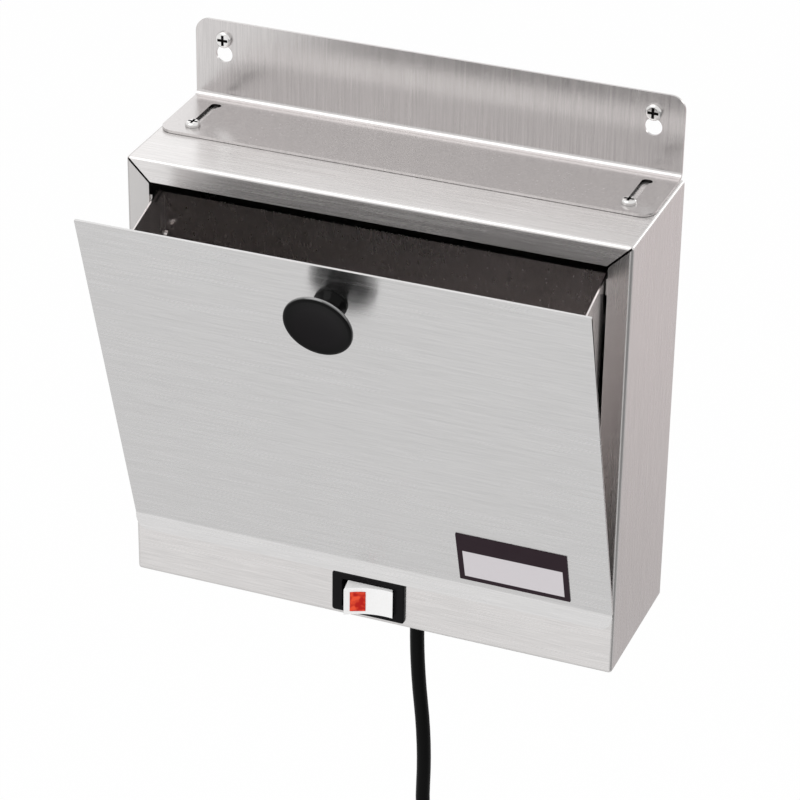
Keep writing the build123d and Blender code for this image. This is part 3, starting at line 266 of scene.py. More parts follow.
def makeGrainGroup():
    group, given, out = newGroup(
        "brushedGrain",
        [("Coordinates", "NodeSocketVector", None), ("Stretch", "NodeSocketVector", None)],
        [("Lines", "NodeSocketFloat"), ("Streaks", "NodeSocketFloat")])
    scaled = addNode(group, "ShaderNodeVectorMath", operation="MULTIPLY")
    joinSockets(group, [
        (given.outputs["Coordinates"], scaled.inputs[0]),
        (given.outputs["Stretch"], scaled.inputs[1])])
    for label, values in grainNoises.items():
        noise = setInputs(addNode(group, "ShaderNodeTexNoise"), **values)
        joinSockets(group, [
            (scaled.outputs[0], noise.inputs["Vector"]),
            (noise.outputs[0], out.inputs[label])])
    return group


# Cloudy unevenness, as handling and cleaning leave on metal and plastic, and a fine speckle
cloudNoises = {
    "Cloud": {"Detail": 3.0, "Roughness": 0.55},
    "Speckle": {"Scale": 2400.0, "Detail": 2.0, "Roughness": 0.6},
}


def makeCloudGroup():
    group, given, out = newGroup(
        "handledClouds",
        [("Coordinates", "NodeSocketVector", None), ("Scale", "NodeSocketFloat", 12.0)],
        [("Cloud", "NodeSocketFloat"), ("Speckle", "NodeSocketFloat")])
    for label, values in cloudNoises.items():
        noise = setInputs(addNode(group, "ShaderNodeTexNoise"), **values)
        joinSockets(group, [
            (given.outputs["Coordinates"], noise.inputs["Vector"]),
            (noise.outputs[0], out.inputs[label])])
        if "Scale" not in values:
            group.links.new(given.outputs["Scale"], noise.inputs["Scale"])
    return group


grainGroup = makeGrainGroup()
cloudGroup = makeCloudGroup()

# Noise keeps near 0.5, so only this part of it is stretched over a whole range
noiseMiddle = (0.35, 0.65)


def bumpNormal(tree, shader, height, strength, distance):
    bump = addNode(tree, "ShaderNodeBump")
    bump.inputs["Strength"].default_value = strength
    bump.inputs["Distance"].default_value = distance
    joinSockets(tree, [(height, bump.inputs["Height"]), (bump.outputs["Normal"], shader.inputs["Normal"])])


# Brushed sheet. dark is the grain's darkest share, across and along stretch the grain, and spread
# is how far a reflection is drawn out across it.
steelSettings = {
    "colour": (0.70, 0.682, 0.675),
    "dark": 0.90,
    "contrast": (0.32, 0.68),
    "lineShare": 0.7,
    "smooth": 0.22,
    "rough": 0.30,
    "cloudShare": 0.5,
    "clouds": 7.0,
    "bump": 0.04,
    "depth": 0.00003,
    "across": 24.0,
    "along": 0.5,
    "spread": 0.75,
}

# The case's upright grain: on its sides, and on its side flanges from the mitres to the lower panel. The
# side flanges also get painted shade, a darker copy of the steel's colour
uprightSettings = {
    "flangeStart": 127.2 * mm,
    "panelHeight": 34.0 * mm,
    "blend": 0.1 * mm,
    "flangePaintedShade": 0.80,
}

# Painted shade: the cut walls of the bracket's two slots are coloured nearly black, so they show dark
# beside the bright floor
slotShadeSettings = {
    "x": 123.0 * mm,
    "halfWidth": 8.0 * mm,
    "middle": -27.0 * mm,
    "halfLength": 18.0 * mm,
    "blend": 0.3 * mm,
    "shade": 0.03,
}

# Grain along Z also lies along Y on a level face, as on the bracket's flange
grainDirections = {"X": (1.0, 0.0, 0.0), "Z": (0.0, 0.7, 0.7)}


def grainStretch(axis, across, along):
    # Lines run along one axis: little change there, quick change along the other two
    return tuple(along if name == axis else across for name in "XYZ")


def acrossGrain(tree, grain):
    # The direction in which brushed lines spread a reflection, square to the grain
    cross = addNode(tree, "ShaderNodeVectorMath", operation="CROSS_PRODUCT")
    tree.links.new(addNode(tree, "ShaderNodeNewGeometry").outputs["Normal"], cross.inputs[0])
    cross.inputs[1].default_value = grain
    return cross.outputs[0]


def facing(tree, axisNo, low=0.6, high=0.8):
    # 1 where the surface looks along one axis of the object
    normal = splitPlace(tree, addNode(tree, "ShaderNodeTexCoord").outputs["Normal"])
    return rangeNode(tree, mathNode(tree, "ABSOLUTE", normal[axisNo]), 0.0, 1.0, low, high)


def uprightFaces(tree, coordinates, settings):
    # The faces with upright grain, and the side flanges among them
    place = splitPlace(tree, coordinates)
    x, z, blend = place[0], place[2], settings["blend"]
    fromMiddle = mathNode(tree, "ABSOLUTE", x)
    start, panelTop = settings["flangeStart"], caseLow.z + settings["panelHeight"]
    outward = rangeNode(tree, fromMiddle, 0.0, 1.0, start - blend, start + blend)
    inward = mathNode(tree, "SUBTRACT", caseHigh.x, fromMiddle)
    drop = mathNode(tree, "SUBTRACT", caseHigh.z, z)
    underMitre = rangeNode(tree, mathNode(tree, "SUBTRACT", drop, inward), 0.0, 1.0, -blend, blend)
    overPanel = rangeNode(tree, z, 0.0, 1.0, panelTop - blend, panelTop + blend)
    flanges = facing(tree, 1)
    for part in (outward, underMitre, overPanel):
        flanges = mathNode(tree, "MULTIPLY", flanges, part)
    return mathNode(tree, "MAXIMUM", facing(tree, 0), flanges), flanges


def paintedSlotShade(tree, coordinates, settings):
    x, y = splitPlace(tree, coordinates)[:2]
    inside = mathNode(tree, "SUBTRACT", 1.0, facing(tree, 2, 0.2, 0.4))
    side = mathNode(tree, "SUBTRACT", mathNode(tree, "ABSOLUTE", x), settings["x"])
    along = mathNode(tree, "SUBTRACT", y, settings["middle"])
    for place, half in ((side, settings["halfWidth"]), (along, settings["halfLength"])):
        distance = mathNode(tree, "ABSOLUTE", place)
        within = rangeNode(tree, distance, 1.0, 0.0, half - settings["blend"], half)
        inside = mathNode(tree, "MULTIPLY", inside, within)
    return inside


def shaded(colour, share):
    return tuple(min(1.0, part * share) for part in colour)


def blendValues(tree, first, second, share):
    # share of the first value and the rest of the second
    return mathNode(tree, "ADD", mathNode(tree, "MULTIPLY", first, share),
                    mathNode(tree, "MULTIPLY", second, 1.0 - share))


def makeSteel(name, axis="X", uprights=None, slots=None, **changes):
    settings = {**steelSettings, **changes}
    base = settings["colour"]
    material, tree, shader, coordinates = newMaterial(name, base, settings["rough"], 1.0)
    grain = useGroup(tree, grainGroup, Coordinates=coordinates,
                     Stretch=grainStretch(axis, settings["across"], settings["along"]))
    lines, streaks = grain.outputs["Lines"], grain.outputs["Streaks"]
    direction = acrossGrain(tree, grainDirections[axis])
    if uprights:
        upright = useGroup(tree, grainGroup, Coordinates=coordinates,
                           Stretch=grainStretch("Z", settings["across"], settings["along"]))
        mask, flanges = uprightFaces(tree, coordinates, uprights)
        lines = mixValues(tree, mask, lines, upright.outputs["Lines"])
        streaks = mixValues(tree, mask, streaks, upright.outputs["Streaks"])
        direction = mixDirections(tree, mask, direction, acrossGrain(tree, grainDirections["Z"]))
    shader.inputs["Anisotropic"].default_value = settings["spread"]
    tree.links.new(direction, shader.inputs["Tangent"])
    share = rangeNode(tree, blendValues(tree, lines, streaks, settings["lineShare"]), 0.0, 1.0,
                      *settings["contrast"])
    brushed = mixColour(tree, share, shaded(base, settings["dark"]), shaded(base, 2.0 - settings["dark"]))
    # Painted shade: the case's side flanges are coloured darker than the rest of the steel
    if uprights:
        brushed = mixColour(tree, flanges, brushed, shaded(base, uprights["flangePaintedShade"]))
    # Painted shade: the walls of the bracket's slots are coloured nearly black
    if slots:
        walls = paintedSlotShade(tree, coordinates, slots)
        brushed = mixColour(tree, walls, brushed, shaded(base, slots["shade"]))
    tree.links.new(brushed, shader.inputs["Base Color"])
    clouds = useGroup(tree, cloudGroup, Coordinates=coordinates, Scale=settings["clouds"])
    worn = blendValues(tree, clouds.outputs["Cloud"], streaks, settings["cloudShare"])
    rough = rangeNode(tree, worn, settings["smooth"], settings["rough"], *noiseMiddle)
    tree.links.new(rough, shader.inputs["Roughness"])
    bumpNormal(tree, shader, lines, settings["bump"], settings["depth"])
    return material


# Moulded plastic or rubber: clouded gloss and a fine moulded skin
plasticSettings = {
    "spread": 0.08,
    "smoothest": 0.02,
    "pale": 1.12,
    "clouds": 40.0,
    "speckle": 0.12,
    "depth": 0.00003,
}


def makePlastic(name, colour, roughness, specular=0.5, **changes):
    settings = {**plasticSettings, **changes}
    material, tree, shader, coordinates = newMaterial(name, colour, roughness, 0.0)
    shader.inputs["Specular IOR Level"].default_value = specular
    clouds = useGroup(tree, cloudGroup, Coordinates=coordinates, Scale=settings["clouds"])
    cloud = clouds.outputs["Cloud"]
    mottled = mixColour(tree, cloud, colour, shaded(colour, settings["pale"]))
    tree.links.new(mottled, shader.inputs["Base Color"])
    smooth = max(settings["smoothest"], roughness - settings["spread"])
    rough = rangeNode(tree, cloud, smooth, roughness + settings["spread"], *noiseMiddle)
    tree.links.new(rough, shader.inputs["Roughness"])
    bumpNormal(tree, shader, clouds.outputs["Speckle"], settings["speckle"], settings["depth"])
    return material


# Small turned or stamped fittings
fittingSettings = {"clouds": 60.0, "dark": 0.8, "spread": 0.3, "speckle": 0.1, "depth": 0.00002}


def makeFitting(name, colour, roughness):
    settings = fittingSettings
    material, tree, shader, coordinates = newMaterial(name, colour, roughness, 1.0)
    clouds = useGroup(tree, cloudGroup, Coordinates=coordinates, Scale=settings["clouds"])
    cloud = clouds.outputs["Cloud"]
    mottled = mixColour(tree, cloud, shaded(colour, settings["dark"]), colour)
    tree.links.new(mottled, shader.inputs["Base Color"])
    low, high = (roughness * (1.0 + part) for part in (-settings["spread"], settings["spread"]))
    rough = rangeNode(tree, cloud, low, high, *noiseMiddle)
    tree.links.new(rough, shader.inputs["Roughness"])
    bumpNormal(tree, shader, clouds.outputs["Speckle"], settings["speckle"], settings["depth"])
    return material


caseSteel = makeSteel("caseSteel", uprights=uprightSettings)
panelSteel = makeSteel("panelSteel")
doorSteel = makeSteel("doorSteel", colour=(0.69, 0.682, 0.680), dark=0.93)
# Painted shade: the bracket's steel is a darker, warmer copy of the case's steel colour
bracketSteel = makeSteel("bracketSteel", axis="Z", slots=slotShadeSettings, colour=(0.605, 0.584, 0.579),
                         smooth=0.20, rough=0.28)
# Painted light: the bin's inner steel is a paler copy of the case's steel colour, to lift the inside,
# which its own reflections leave dark
innerSteel = makeSteel("innerSteel", axis="Z", colour=(0.80, 0.755, 0.745), dark=0.93, smooth=0.20,
                       bump=0.0)
screwSteel = makeFitting("screwSteel", (0.80, 0.79, 0.78), 0.16)
springSteel = makeFitting("springSteel", (0.5, 0.49, 0.48), 0.25)
brass = makeFitting("terminalBrass", (0.72, 0.52, 0.24), 0.25)
aluminium = makeFitting("plateAluminium", (0.77, 0.77, 0.78), 0.35)
knobBlack = makePlastic("knobBlack", (0.0015, 0.0015, 0.0015), 0.10, specular=0.10, spread=0.03,
                        speckle=0.03)
switchBlack = makePlastic("switchBlack", (0.004, 0.0035, 0.004), 0.34, specular=0.10)
rockerWhite = makePlastic("rockerWhite", (0.94, 0.935, 0.925), 0.26, spread=0.04)
cordBlack = makePlastic("cordBlack", (0.003, 0.003, 0.003), 0.40, specular=0.06, speckle=0.3,
                        depth=0.00005)
tieBlack = makePlastic("tieBlack", (0.02, 0.02, 0.022), 0.7, speckle=0.5, depth=0.0001)
rubberBlack = makePlastic("rubberBlack", (0.02, 0.02, 0.02), 0.6)
thermostatBlack = makePlastic("thermostatBlack", (0.03, 0.026, 0.022), 0.45)
siliconeRed = makePlastic("matSilicone", (0.45, 0.10, 0.05), 0.55)
# Painted shade: the insulation wool is coloured dark grey, for the dark inside of the case where it shows
# above the bin's back
woolPaintedShade = makePlastic("insulationWool", (0.075, 0.072, 0.068), 0.95, speckle=1.0, depth=0.0006)
nylonWhite = makePlastic("bushNylon", (0.80, 0.79, 0.74), 0.45)
spliceGrey = makePlastic("spliceGrey", (0.42, 0.43, 0.45), 0.4)
wireBlack = makePlastic("wireBlack", (0.015, 0.015, 0.016), 0.45)
wireWhite = makePlastic("wireWhite", (0.78, 0.77, 0.74), 0.45)
wireGreen = makePlastic("wireGreen", (0.03, 0.30, 0.08), 0.45)


# Bright screws with painted shade in the driver recess, which is found by its depth below the head
recessSettings = {
    "colour": (0.82, 0.81, 0.80),
    "roughness": 0.14,
    "paintedRecessShade": (0.012, 0.011, 0.011),
    "depths": (0.1 * mm, 0.4 * mm),
    "reach": (0.66, 0.70),
}


def makeRecessedScrews(name, nodeName, headRadius, headAxis, headSide):
    # headAxis is 1 for heads that look along Y and 2 for Z, and headSide the way they look
    settings = recessSettings
    material = makeFitting(name, settings["colour"], settings["roughness"])
    tree = material.node_tree
    baseSocket = tree.nodes["Principled BSDF"].inputs["Base Color"]
    low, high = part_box(nodeName)
    otherAxis = 3 - headAxis
    face = (low if headSide < 0 else high)[headAxis]
    middle = (low[otherAxis] + high[otherAxis]) / 2
    place = splitPlace(tree, addNode(tree, "ShaderNodeTexCoord").outputs["Object"])
    depth = mathNode(tree, "ABSOLUTE", mathNode(tree, "SUBTRACT", place[headAxis], face))
    across = mathNode(tree, "SUBTRACT", mathNode(tree, "ABSOLUTE", place[0]), high.x - headRadius)
    up = mathNode(tree, "SUBTRACT", place[otherAxis], middle)
    squares = [mathNode(tree, "POWER", part, 2.0) for part in (across, up)]
    radius = mathNode(tree, "SQRT", mathNode(tree, "ADD", *squares))
    nearest, furthest = (headRadius * share for share in settings["reach"])
    inside = mathNode(tree, "MULTIPLY", rangeNode(tree, depth, 0.0, 1.0, *settings["depths"]),
                      rangeNode(tree, radius, 1.0, 0.0, nearest, furthest))
    plain = baseSocket.links[0].from_socket
    # Painted shade: the driver recess is coloured nearly black
    tree.links.new(mixColour(tree, inside, plain, settings["paintedRecessShade"]), baseSocket)
    return material


wallScrewSteel = makeRecessedScrews("wallScrewSteel", "wall_screws", headRadius=4.6 * mm, headAxis=1,
                                    headSide=-1)
slotScrewSteel = makeRecessedScrews("slotScrewSteel", "bracket_screws", headRadius=4.1 * mm, headAxis=2,
                                    headSide=1)


# The switch's lit lens, mottled between two reds
lensSettings = {
    "colour": (0.50, 0.02, 0.01),
    "roughness": 0.12,
    "specular": 0.12,
    "glow": 0.12,
    "mottle": 260.0,
    "contrast": (0.4, 0.62),
    "deepRed": (0.45, 0.010, 0.006),
    "brightRed": (0.80, 0.08, 0.03),
}


def makeLensRed(settings):
    material, tree, shader, coordinates = newMaterial(
        "lensRed", settings["colour"], settings["roughness"], 0.0)
    shader.inputs["Specular IOR Level"].default_value = settings["specular"]
    shader.inputs["Emission Strength"].default_value = settings["glow"]
    ribs = setInputs(addNode(tree, "ShaderNodeTexNoise"), Scale=settings["mottle"], Detail=1.0)
    tree.links.new(coordinates, ribs.inputs["Vector"])
    share = rangeNode(tree, ribs.outputs[0], 0.0, 1.0, *settings["contrast"])
    glow = mixColour(tree, share, settings["deepRed"], settings["brightRed"])
    joinSockets(tree, [(glow, shader.inputs["Base Color"]), (glow, shader.inputs["Emission Color"])])
    return material


lensRed = makeLensRed(lensSettings)


# Label: a dark border, a darker band along the top and a pale field, left blank
labelSettings = {
    "border": 3.0 * mm,
    "borderBlend": 0.15 * mm,
    "bandShare": 0.36,
    "bandBlend": 0.1 * mm,
    "printColour": (0.020, 0.008, 0.014),
    "fieldColour": (0.70, 0.665, 0.69),
    "specular": 0.12,
    "clouds": 80.0,
    "smooth": 0.30,
    "rough": 0.45,
    "speckle": 0.08,
    "depth": 0.00002,
}


def makeLabelMaterial(settings):
    low, high = shutBox("label_plate")
    middle, half = (low + high) / 2, (high - low) / 2
    material, tree, shader, coordinates = newMaterial(
        "labelPrint", settings["printColour"], settings["rough"], 0.0)
    shader.inputs["Specular IOR Level"].default_value = settings["specular"]
    turned = addNode(tree, "ShaderNodeMapping")
    shut = openBin.inverted()
    turned.inputs["Location"].default_value = shut.to_translation()
    turned.inputs["Rotation"].default_value = shut.to_euler()
    tree.links.new(coordinates, turned.inputs["Vector"])
    place = splitPlace(tree, turned.outputs[0])
    x, z = place[0], place[2]
    across = mathNode(tree, "ABSOLUTE", mathNode(tree, "SUBTRACT", x, middle.x))
    up = mathNode(tree, "ABSOLUTE", mathNode(tree, "SUBTRACT", z, middle.z))
    fromSide = mathNode(tree, "SUBTRACT", half.x, across)
    fromTop = mathNode(tree, "SUBTRACT", half.z, up)
    edge = mathNode(tree, "MINIMUM", fromSide, fromTop)
    border = settings["border"]
    field = rangeNode(tree, edge, 0.0, 1.0, border, border + settings["borderBlend"])
    bandHeight = high.z - settings["bandShare"] * (high.z - low.z)
    blend = settings["bandBlend"]
    below = rangeNode(tree, z, 1.0, 0.0, bandHeight - blend, bandHeight + blend)
    inside = mathNode(tree, "MULTIPLY", field, below)
    printed = mixColour(tree, inside, settings["printColour"], settings["fieldColour"])
    tree.links.new(printed, shader.inputs["Base Color"])
    clouds = useGroup(tree, cloudGroup, Coordinates=coordinates, Scale=settings["clouds"])
    rough = rangeNode(tree, clouds.outputs["Cloud"], settings["smooth"], settings["rough"], *noiseMiddle)
    tree.links.new(rough, shader.inputs["Roughness"])
    bumpNormal(tree, shader, clouds.outputs["Speckle"], settings["speckle"], settings["depth"])
    return material


labelPrint = makeLabelMaterial(labelSettings)

nodeMaterials = {
    "case_shell": caseSteel,
    "base_cover": panelSteel,
    "back_panel": panelSteel,
    "wall_bracket": bracketSteel,
    "door_panel": doorSteel,
    "bin_side_left": innerSteel,
    "bin_side_right": innerSteel,
    "bin_back": innerSteel,
    "bin_floor": innerSteel,
    "heater_deck": innerSteel,
    "pivot_bracket_left": innerSteel,
    "pivot_bracket_right": innerSteel,
    "catch_spring_left": springSteel,
    "catch_spring_right": springSteel,
    "pivot_clips": springSteel,
    "contact_arm": springSteel,
    "wall_screws": wallScrewSteel,
    "bracket_screws": slotScrewSteel,
    "case_nuts": screwSteel,
    "back_screws": screwSteel,
    "base_screws": screwSteel,
    "bin_rivets": screwSteel,
    "pivot_pins": screwSteel,
    "pivot_rivets": screwSteel,
    "knob_screw": screwSteel,
    "knob_washer": screwSteel,
    "ground_screw": screwSteel,
    "thermostat_screws": screwSteel,
    "label_plate": labelPrint,
    "switch_housing": switchBlack,
    "rocker": rockerWhite,
    "rocker_lens": lensRed,
    "switch_terminals": brass,
    "thermostat_terminals": brass,
    "ground_ring": brass,
    "plug_blades": brass,
    "heater_mat": siliconeRed,
    "mat_leads": siliconeRed,
    "deck_grommet": rubberBlack,
    "insulation_left": woolPaintedShade,
    "insulation_right": woolPaintedShade,
    "insulation_back": woolPaintedShade,
    "insulation_top": woolPaintedShade,
    "thermostat_body": thermostatBlack,
    "thermostat_strap": aluminium,
    "fuse_clip": aluminium,
    "thermal_fuse": aluminium,
    "live_wire": wireBlack,
    "link_wire": wireBlack,
    "switched_wire": wireBlack,
    "neutral_wire": wireWhite,
    "ground_wire": wireGreen,
    "wire_splice": spliceGrey,
    "pivot_bushes": nylonWhite,
}

for nodeName, nodeMaterial in nodeMaterials.items():
    nodes[nodeName].data.materials.clear()
    nodes[nodeName].data.materials.append(nodeMaterial)
print("materials made")


# Mains cord, on the same route as the CAD tube: down, then two turns in, half a turn over to the
# layer behind, and two and a half turns out. All but the radius and the length is in millimetres,
# and route holds x and the depth below the case's bottom.
cordSettings = {
    "y": -44.0,
    "route": [(12.2, 25.0), (12.2, 50.0), (18.6, 106.0), (16.8, 160.7)],
    "joinRun": 27.0,
    "joinTurns": (30.0, 60.0),
    "ringRadius": 57.0,
    "pitch": 8.8,
    "layerStep": 8.8,
    "reverseInset": 1.2,
    "leadIn": 60.0,
    "leadSteps": (1.5, 0.5),
    "halvesIn": 4,
    "halvesOut": 5,
    "pointsPerHalf": 8,
    "tail": 20.0,
    "tailMiddle": 0.4,
    "radius": 4.1 * mm,
    "splineResolution": 6,
    "bevelResolution": 5,
    "length": 1.785,
}


def ringRadii(settings):
    # The radius at the start of each half turn, and at the end of the last
    step = settings["pitch"] / 2
    inward = [settings["ringRadius"] - step * count for count in range(settings["halvesIn"] + 1)]
    inward[-1] -= settings["reverseInset"]
    outward = [inward[-2] + step * count for count in range(settings["halvesOut"])]
    return inward + [inward[-1]] + outward


def cordPath(settings):
    # Control points in millimetres as x, y and height above the case's bottom
    y = settings["y"]
    route = list(settings["route"])
    for degrees in settings["joinTurns"]:
        turn, run = math.radians(degrees), settings["joinRun"]
        x, depth = route[-1]
        route.append((x + run * math.sin(turn), depth + run * math.cos(turn)))
    points = [(x, y, -depth) for x, depth in route]
    lead = math.radians(settings["leadIn"])
    shift = settings["pitch"] / 4
    leadRadius = settings["ringRadius"] + shift
    leadX = route[-1][0] - leadRadius * math.cos(lead)
    centreX, centreZ = leadX + shift, -route[-1][1] - leadRadius * math.sin(lead)
    step = math.pi / settings["pointsPerHalf"]
    # Control points lie outside the curve that they make
    outside = 1 / math.cos(step / 2)
    for steps in settings["leadSteps"]:
        angle = steps * step
        points.append((leadX + leadRadius * outside * math.cos(angle), y,
                       centreZ + leadRadius * outside * math.sin(angle)))
    radii = ringRadii(settings)
    for half, (start, end) in enumerate(zip(radii, radii[1:])):
        side = -1 if half % 2 else 1
        middleX = centreX + side * (start - end) / 2
        radius = (start + end) / 2 * outside
        for count in range(settings["pointsPerHalf"]):
            share = (count + 0.5) / settings["pointsPerHalf"]
            angle = -math.pi * (half % 2) - math.pi * share
            layer = min(1.0, max(0.0, half - settings["halvesIn"] + share))
            points.append((middleX + radius * math.cos(angle), y + layer * settings["layerStep"],
                           centreZ + radius * math.sin(angle)))
    endX, backY = centreX + radii[-1], y + settings["layerStep"]
    points.append((endX, backY, centreZ - settings["tailMiddle"] * settings["tail"]))
    points.append((endX, backY, centreZ - settings["tail"]))
    return points


def fromCaseBottom(x, y, height):
    return Vector((x * mm, y * mm, caseLow.z + height * mm))


cordPlaces = [fromCaseBottom(*point) for point in cordPath(cordSettings)]


def makeCord(settings):
    curve = bpy.data.curves.new("cordLine", "CURVE")
    curve.dimensions = "3D"
    line = curve.splines.new("NURBS")
    line.points.add(len(cordPlaces) - 1)
    for point, place in zip(line.points, cordPlaces):
        point.co = (*place, 1.0)
    line.order_u = 3
    line.use_endpoint_u = True
    line.resolution_u = settings["splineResolution"]
    curve.bevel_depth = settings["radius"]
    curve.bevel_resolution = settings["bevelResolution"]
    curve.use_fill_caps = True
    cord = bpy.data.objects.new("mainsCord", curve)
    scene.collection.objects.link(cord)
    curve.materials.append(cordBlack)
    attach(cord, "case")
    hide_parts("cord", "cord_coil")
    return cord


mainsCord = makeCord(cordSettings)


# Moulded strain relief at the case's bottom, with rings round its taper. neck runs through the
# base cover, and stem is the part inside the case. Heights are above the case's bottom.
reliefSettings = {
    "endRadius": 5.0 * mm,
    "topRadius": 7.5 * mm,
    "rings": 5,
    "groove": 0.8 * mm,
    "corner": 0.4 * mm,
    "collar": 9.5 * mm,
    "flange": 1.0 * mm,
    "collarEdge": 0.6 * mm,
    "neck": 7.9 * mm,
    "neckHeights": (1.2 * mm, 2.4 * mm),
    "headTop": 5.0 * mm,
    "stem": 4.1 * mm,
    "steps": 48,
}

# Where a ring's groove ends and its raised part starts and ends, as shares of its height
ringShares = {"groove": 0.28, "raised": 0.36, "end": 0.92}


def ringedTaper(topRadius, endRadius, top, low, rings, groove):
    # A taper going down with a groove between each two rings
    places = []
    step = (top - low) / rings
    for count in range(rings):
        high = top - count * step
        radius = topRadius + (endRadius - topRadius) * count / (rings - 1)
        places += [(radius - groove, high), (radius - groove, high - step * ringShares["groove"])]
        places += [(radius, high - step * ringShares["raised"]), (radius, high - step * ringShares["end"])]
    return places + [(endRadius, low)]


def makeStrainRelief(settings):
    low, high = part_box("strain_relief")
    bottom, top = low.z - caseLow.z, high.z - caseLow.z
    corner, collar, flange = settings["corner"], settings["collar"], settings["flange"]
    neckLow, neckHigh = settings["neckHeights"]
    taper = ringedTaper(settings["topRadius"], settings["endRadius"], -flange, bottom + corner,
                        settings["rings"], settings["groove"])
    profile = [(0.0, bottom), (settings["endRadius"] - corner, bottom)] + taper[::-1]
    profile += [(collar - corner, -flange), (collar, -settings["collarEdge"]), (collar, neckLow)]
    profile += [(settings["neck"], neckLow), (settings["neck"], neckHigh), (collar, neckHigh)]
    profile += [(collar, settings["headTop"]), (settings["stem"], settings["headTop"])]
    profile += [(settings["stem"], top), (0.0, top)]
    mesh = spinProfile(profile, settings["steps"])
    middle = (low + high) / 2
    bmesh.ops.translate(mesh, verts=mesh.verts, vec=(middle.x, middle.y, caseLow.z))
    finishMesh("strainRelief", mesh, "case", cordBlack, ["strain_relief"])


makeStrainRelief(reliefSettings)


# Moulded plug: ringed relief, then a grip with ridges over the middle part of its height
plugSettings = {
    "reliefLength": 25.0 * mm,
    "reliefTop": 4.9 * mm,
    "reliefEnd": 6.5 * mm,
    "reliefSunk": 2.0 * mm,
    "rings": 5,
    "groove": 0.7 * mm,
    "steps": 40,
    "corner": 5.0 * mm,
    "cornerSegments": 5,
    "endCorner": 1.6 * mm,
    "endSegments": 3,
    "ridges": 5,
    "ridgesFrom": 0.22,
    "ridgesOver": 0.6,
    "ridgeDepth": 0.7 * mm,
    "gripRadius": 13.0 * mm,
}


def makePlugRelief(settings):
    length, end = settings["reliefLength"], settings["reliefEnd"]
    taper = ringedTaper(end, settings["reliefTop"], 0.0, -length, settings["rings"], settings["groove"])
    upward = [(radius, -length - height) for radius, height in taper]
    sunk = -length - settings["reliefSunk"]
    mesh = spinProfile([(0.0, sunk), (end, sunk)] + upward + [(0.0, 0.0)], settings["steps"])
    bmesh.ops.translate(mesh, verts=mesh.verts, vec=cordPlaces[-1])
    return finishMesh("plugRelief", mesh, "case", cordBlack, [])


def makePlugGrip(settings):
    low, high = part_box("plug")
    top = cordPlaces[-1].z - settings["reliefLength"]
    height = top - low.z
    mesh = makeBox(low, Vector((high.x, high.y, top)))
    upright = [edge for edge in mesh.edges if not levelEdge(edge)]
    roundEdges(mesh, upright, settings["corner"], settings["cornerSegments"])
    cuts = settings["ridges"] * 2
    for count in range(1, cuts + 2):
        level = low.z + height * (settings["ridgesFrom"] + settings["ridgesOver"] * count / (cuts + 2))
        bmesh.ops.bisect_plane(mesh, geom=mesh.verts[:] + mesh.edges[:] + mesh.faces[:],
                               plane_co=(0, 0, level), plane_no=(0, 0, 1))
    # Every second cut is drawn in, which leaves the ridges between
    levels = sorted({round(vertex.co.z, 6) for vertex in mesh.verts})
    narrow = 1 - settings["ridgeDepth"] / settings["gripRadius"]
    for level in levels[2:-1:2]:
        ring = [vertex for vertex in mesh.verts if atHeight(vertex, level)]
        middle = Vector((cordPlaces[-1].x, (low.y + high.y) / 2, level))
        bmesh.ops.scale(mesh, vec=(narrow, narrow, 1.0), verts=ring, space=Matrix.Translation(-middle))
    ends = [edge for edge in mesh.edges
            if all(atHeight(vertex, low.z) or atHeight(vertex, top) for vertex in edge.verts)]
    roundEdges(mesh, ends, settings["endCorner"], settings["endSegments"])
    return finishMesh("plugGrip", mesh, "case", cordBlack, ["plug"])


plugRelief = makePlugRelief(plugSettings)
plugGrip = makePlugGrip(plugSettings)


# Strap that holds the coil
tieSettings = {
    "corner": 4.1 * mm,
    "cornerSegments": 6,
    "thickness": 1.5 * mm,
    "edge": 0.35 * mm,
    "edgeSegments": 2,
    "sharpAngle": 1.0,
}


def makeTie(settings):
    low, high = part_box("cord_tie")
    middle, size = (low + high) / 2, high - low
    mesh = bmesh.new()
    matrix = Matrix.Translation((middle.x, middle.y, low.z)) @ Matrix.Diagonal((size.x, size.y, 1.0, 1.0))
    bmesh.ops.create_grid(mesh, x_segments=1, y_segments=1, size=0.5, matrix=matrix)
    bmesh.ops.bevel(mesh, geom=mesh.verts[:], offset=settings["corner"], profile=0.5,
                    segments=settings["cornerSegments"], affect="VERTICES", material=-1)
    bmesh.ops.delete(mesh, geom=mesh.faces[:], context="FACES_ONLY")
    made = bmesh.ops.extrude_edge_only(mesh, edges=mesh.edges[:])
    raised = [item for item in made["geom"] if isinstance(item, bmesh.types.BMVert)]
    bmesh.ops.translate(mesh, verts=raised, vec=(0, 0, size.z))
    bmesh.ops.recalc_face_normals(mesh, faces=mesh.faces)
    bmesh.ops.solidify(mesh, geom=mesh.faces[:], thickness=settings["thickness"])
    bmesh.ops.recalc_face_normals(mesh, faces=mesh.faces)
    sharp = [edge for edge in mesh.edges if edge.calc_face_angle(0) > settings["sharpAngle"]]
    roundEdges(mesh, sharp, settings["edge"], settings["edgeSegments"])
    return finishMesh("cordTie", mesh, "case", tieBlack, ["cord_tie"])


cordTie = makeTie(tieSettings)

print("cord made")


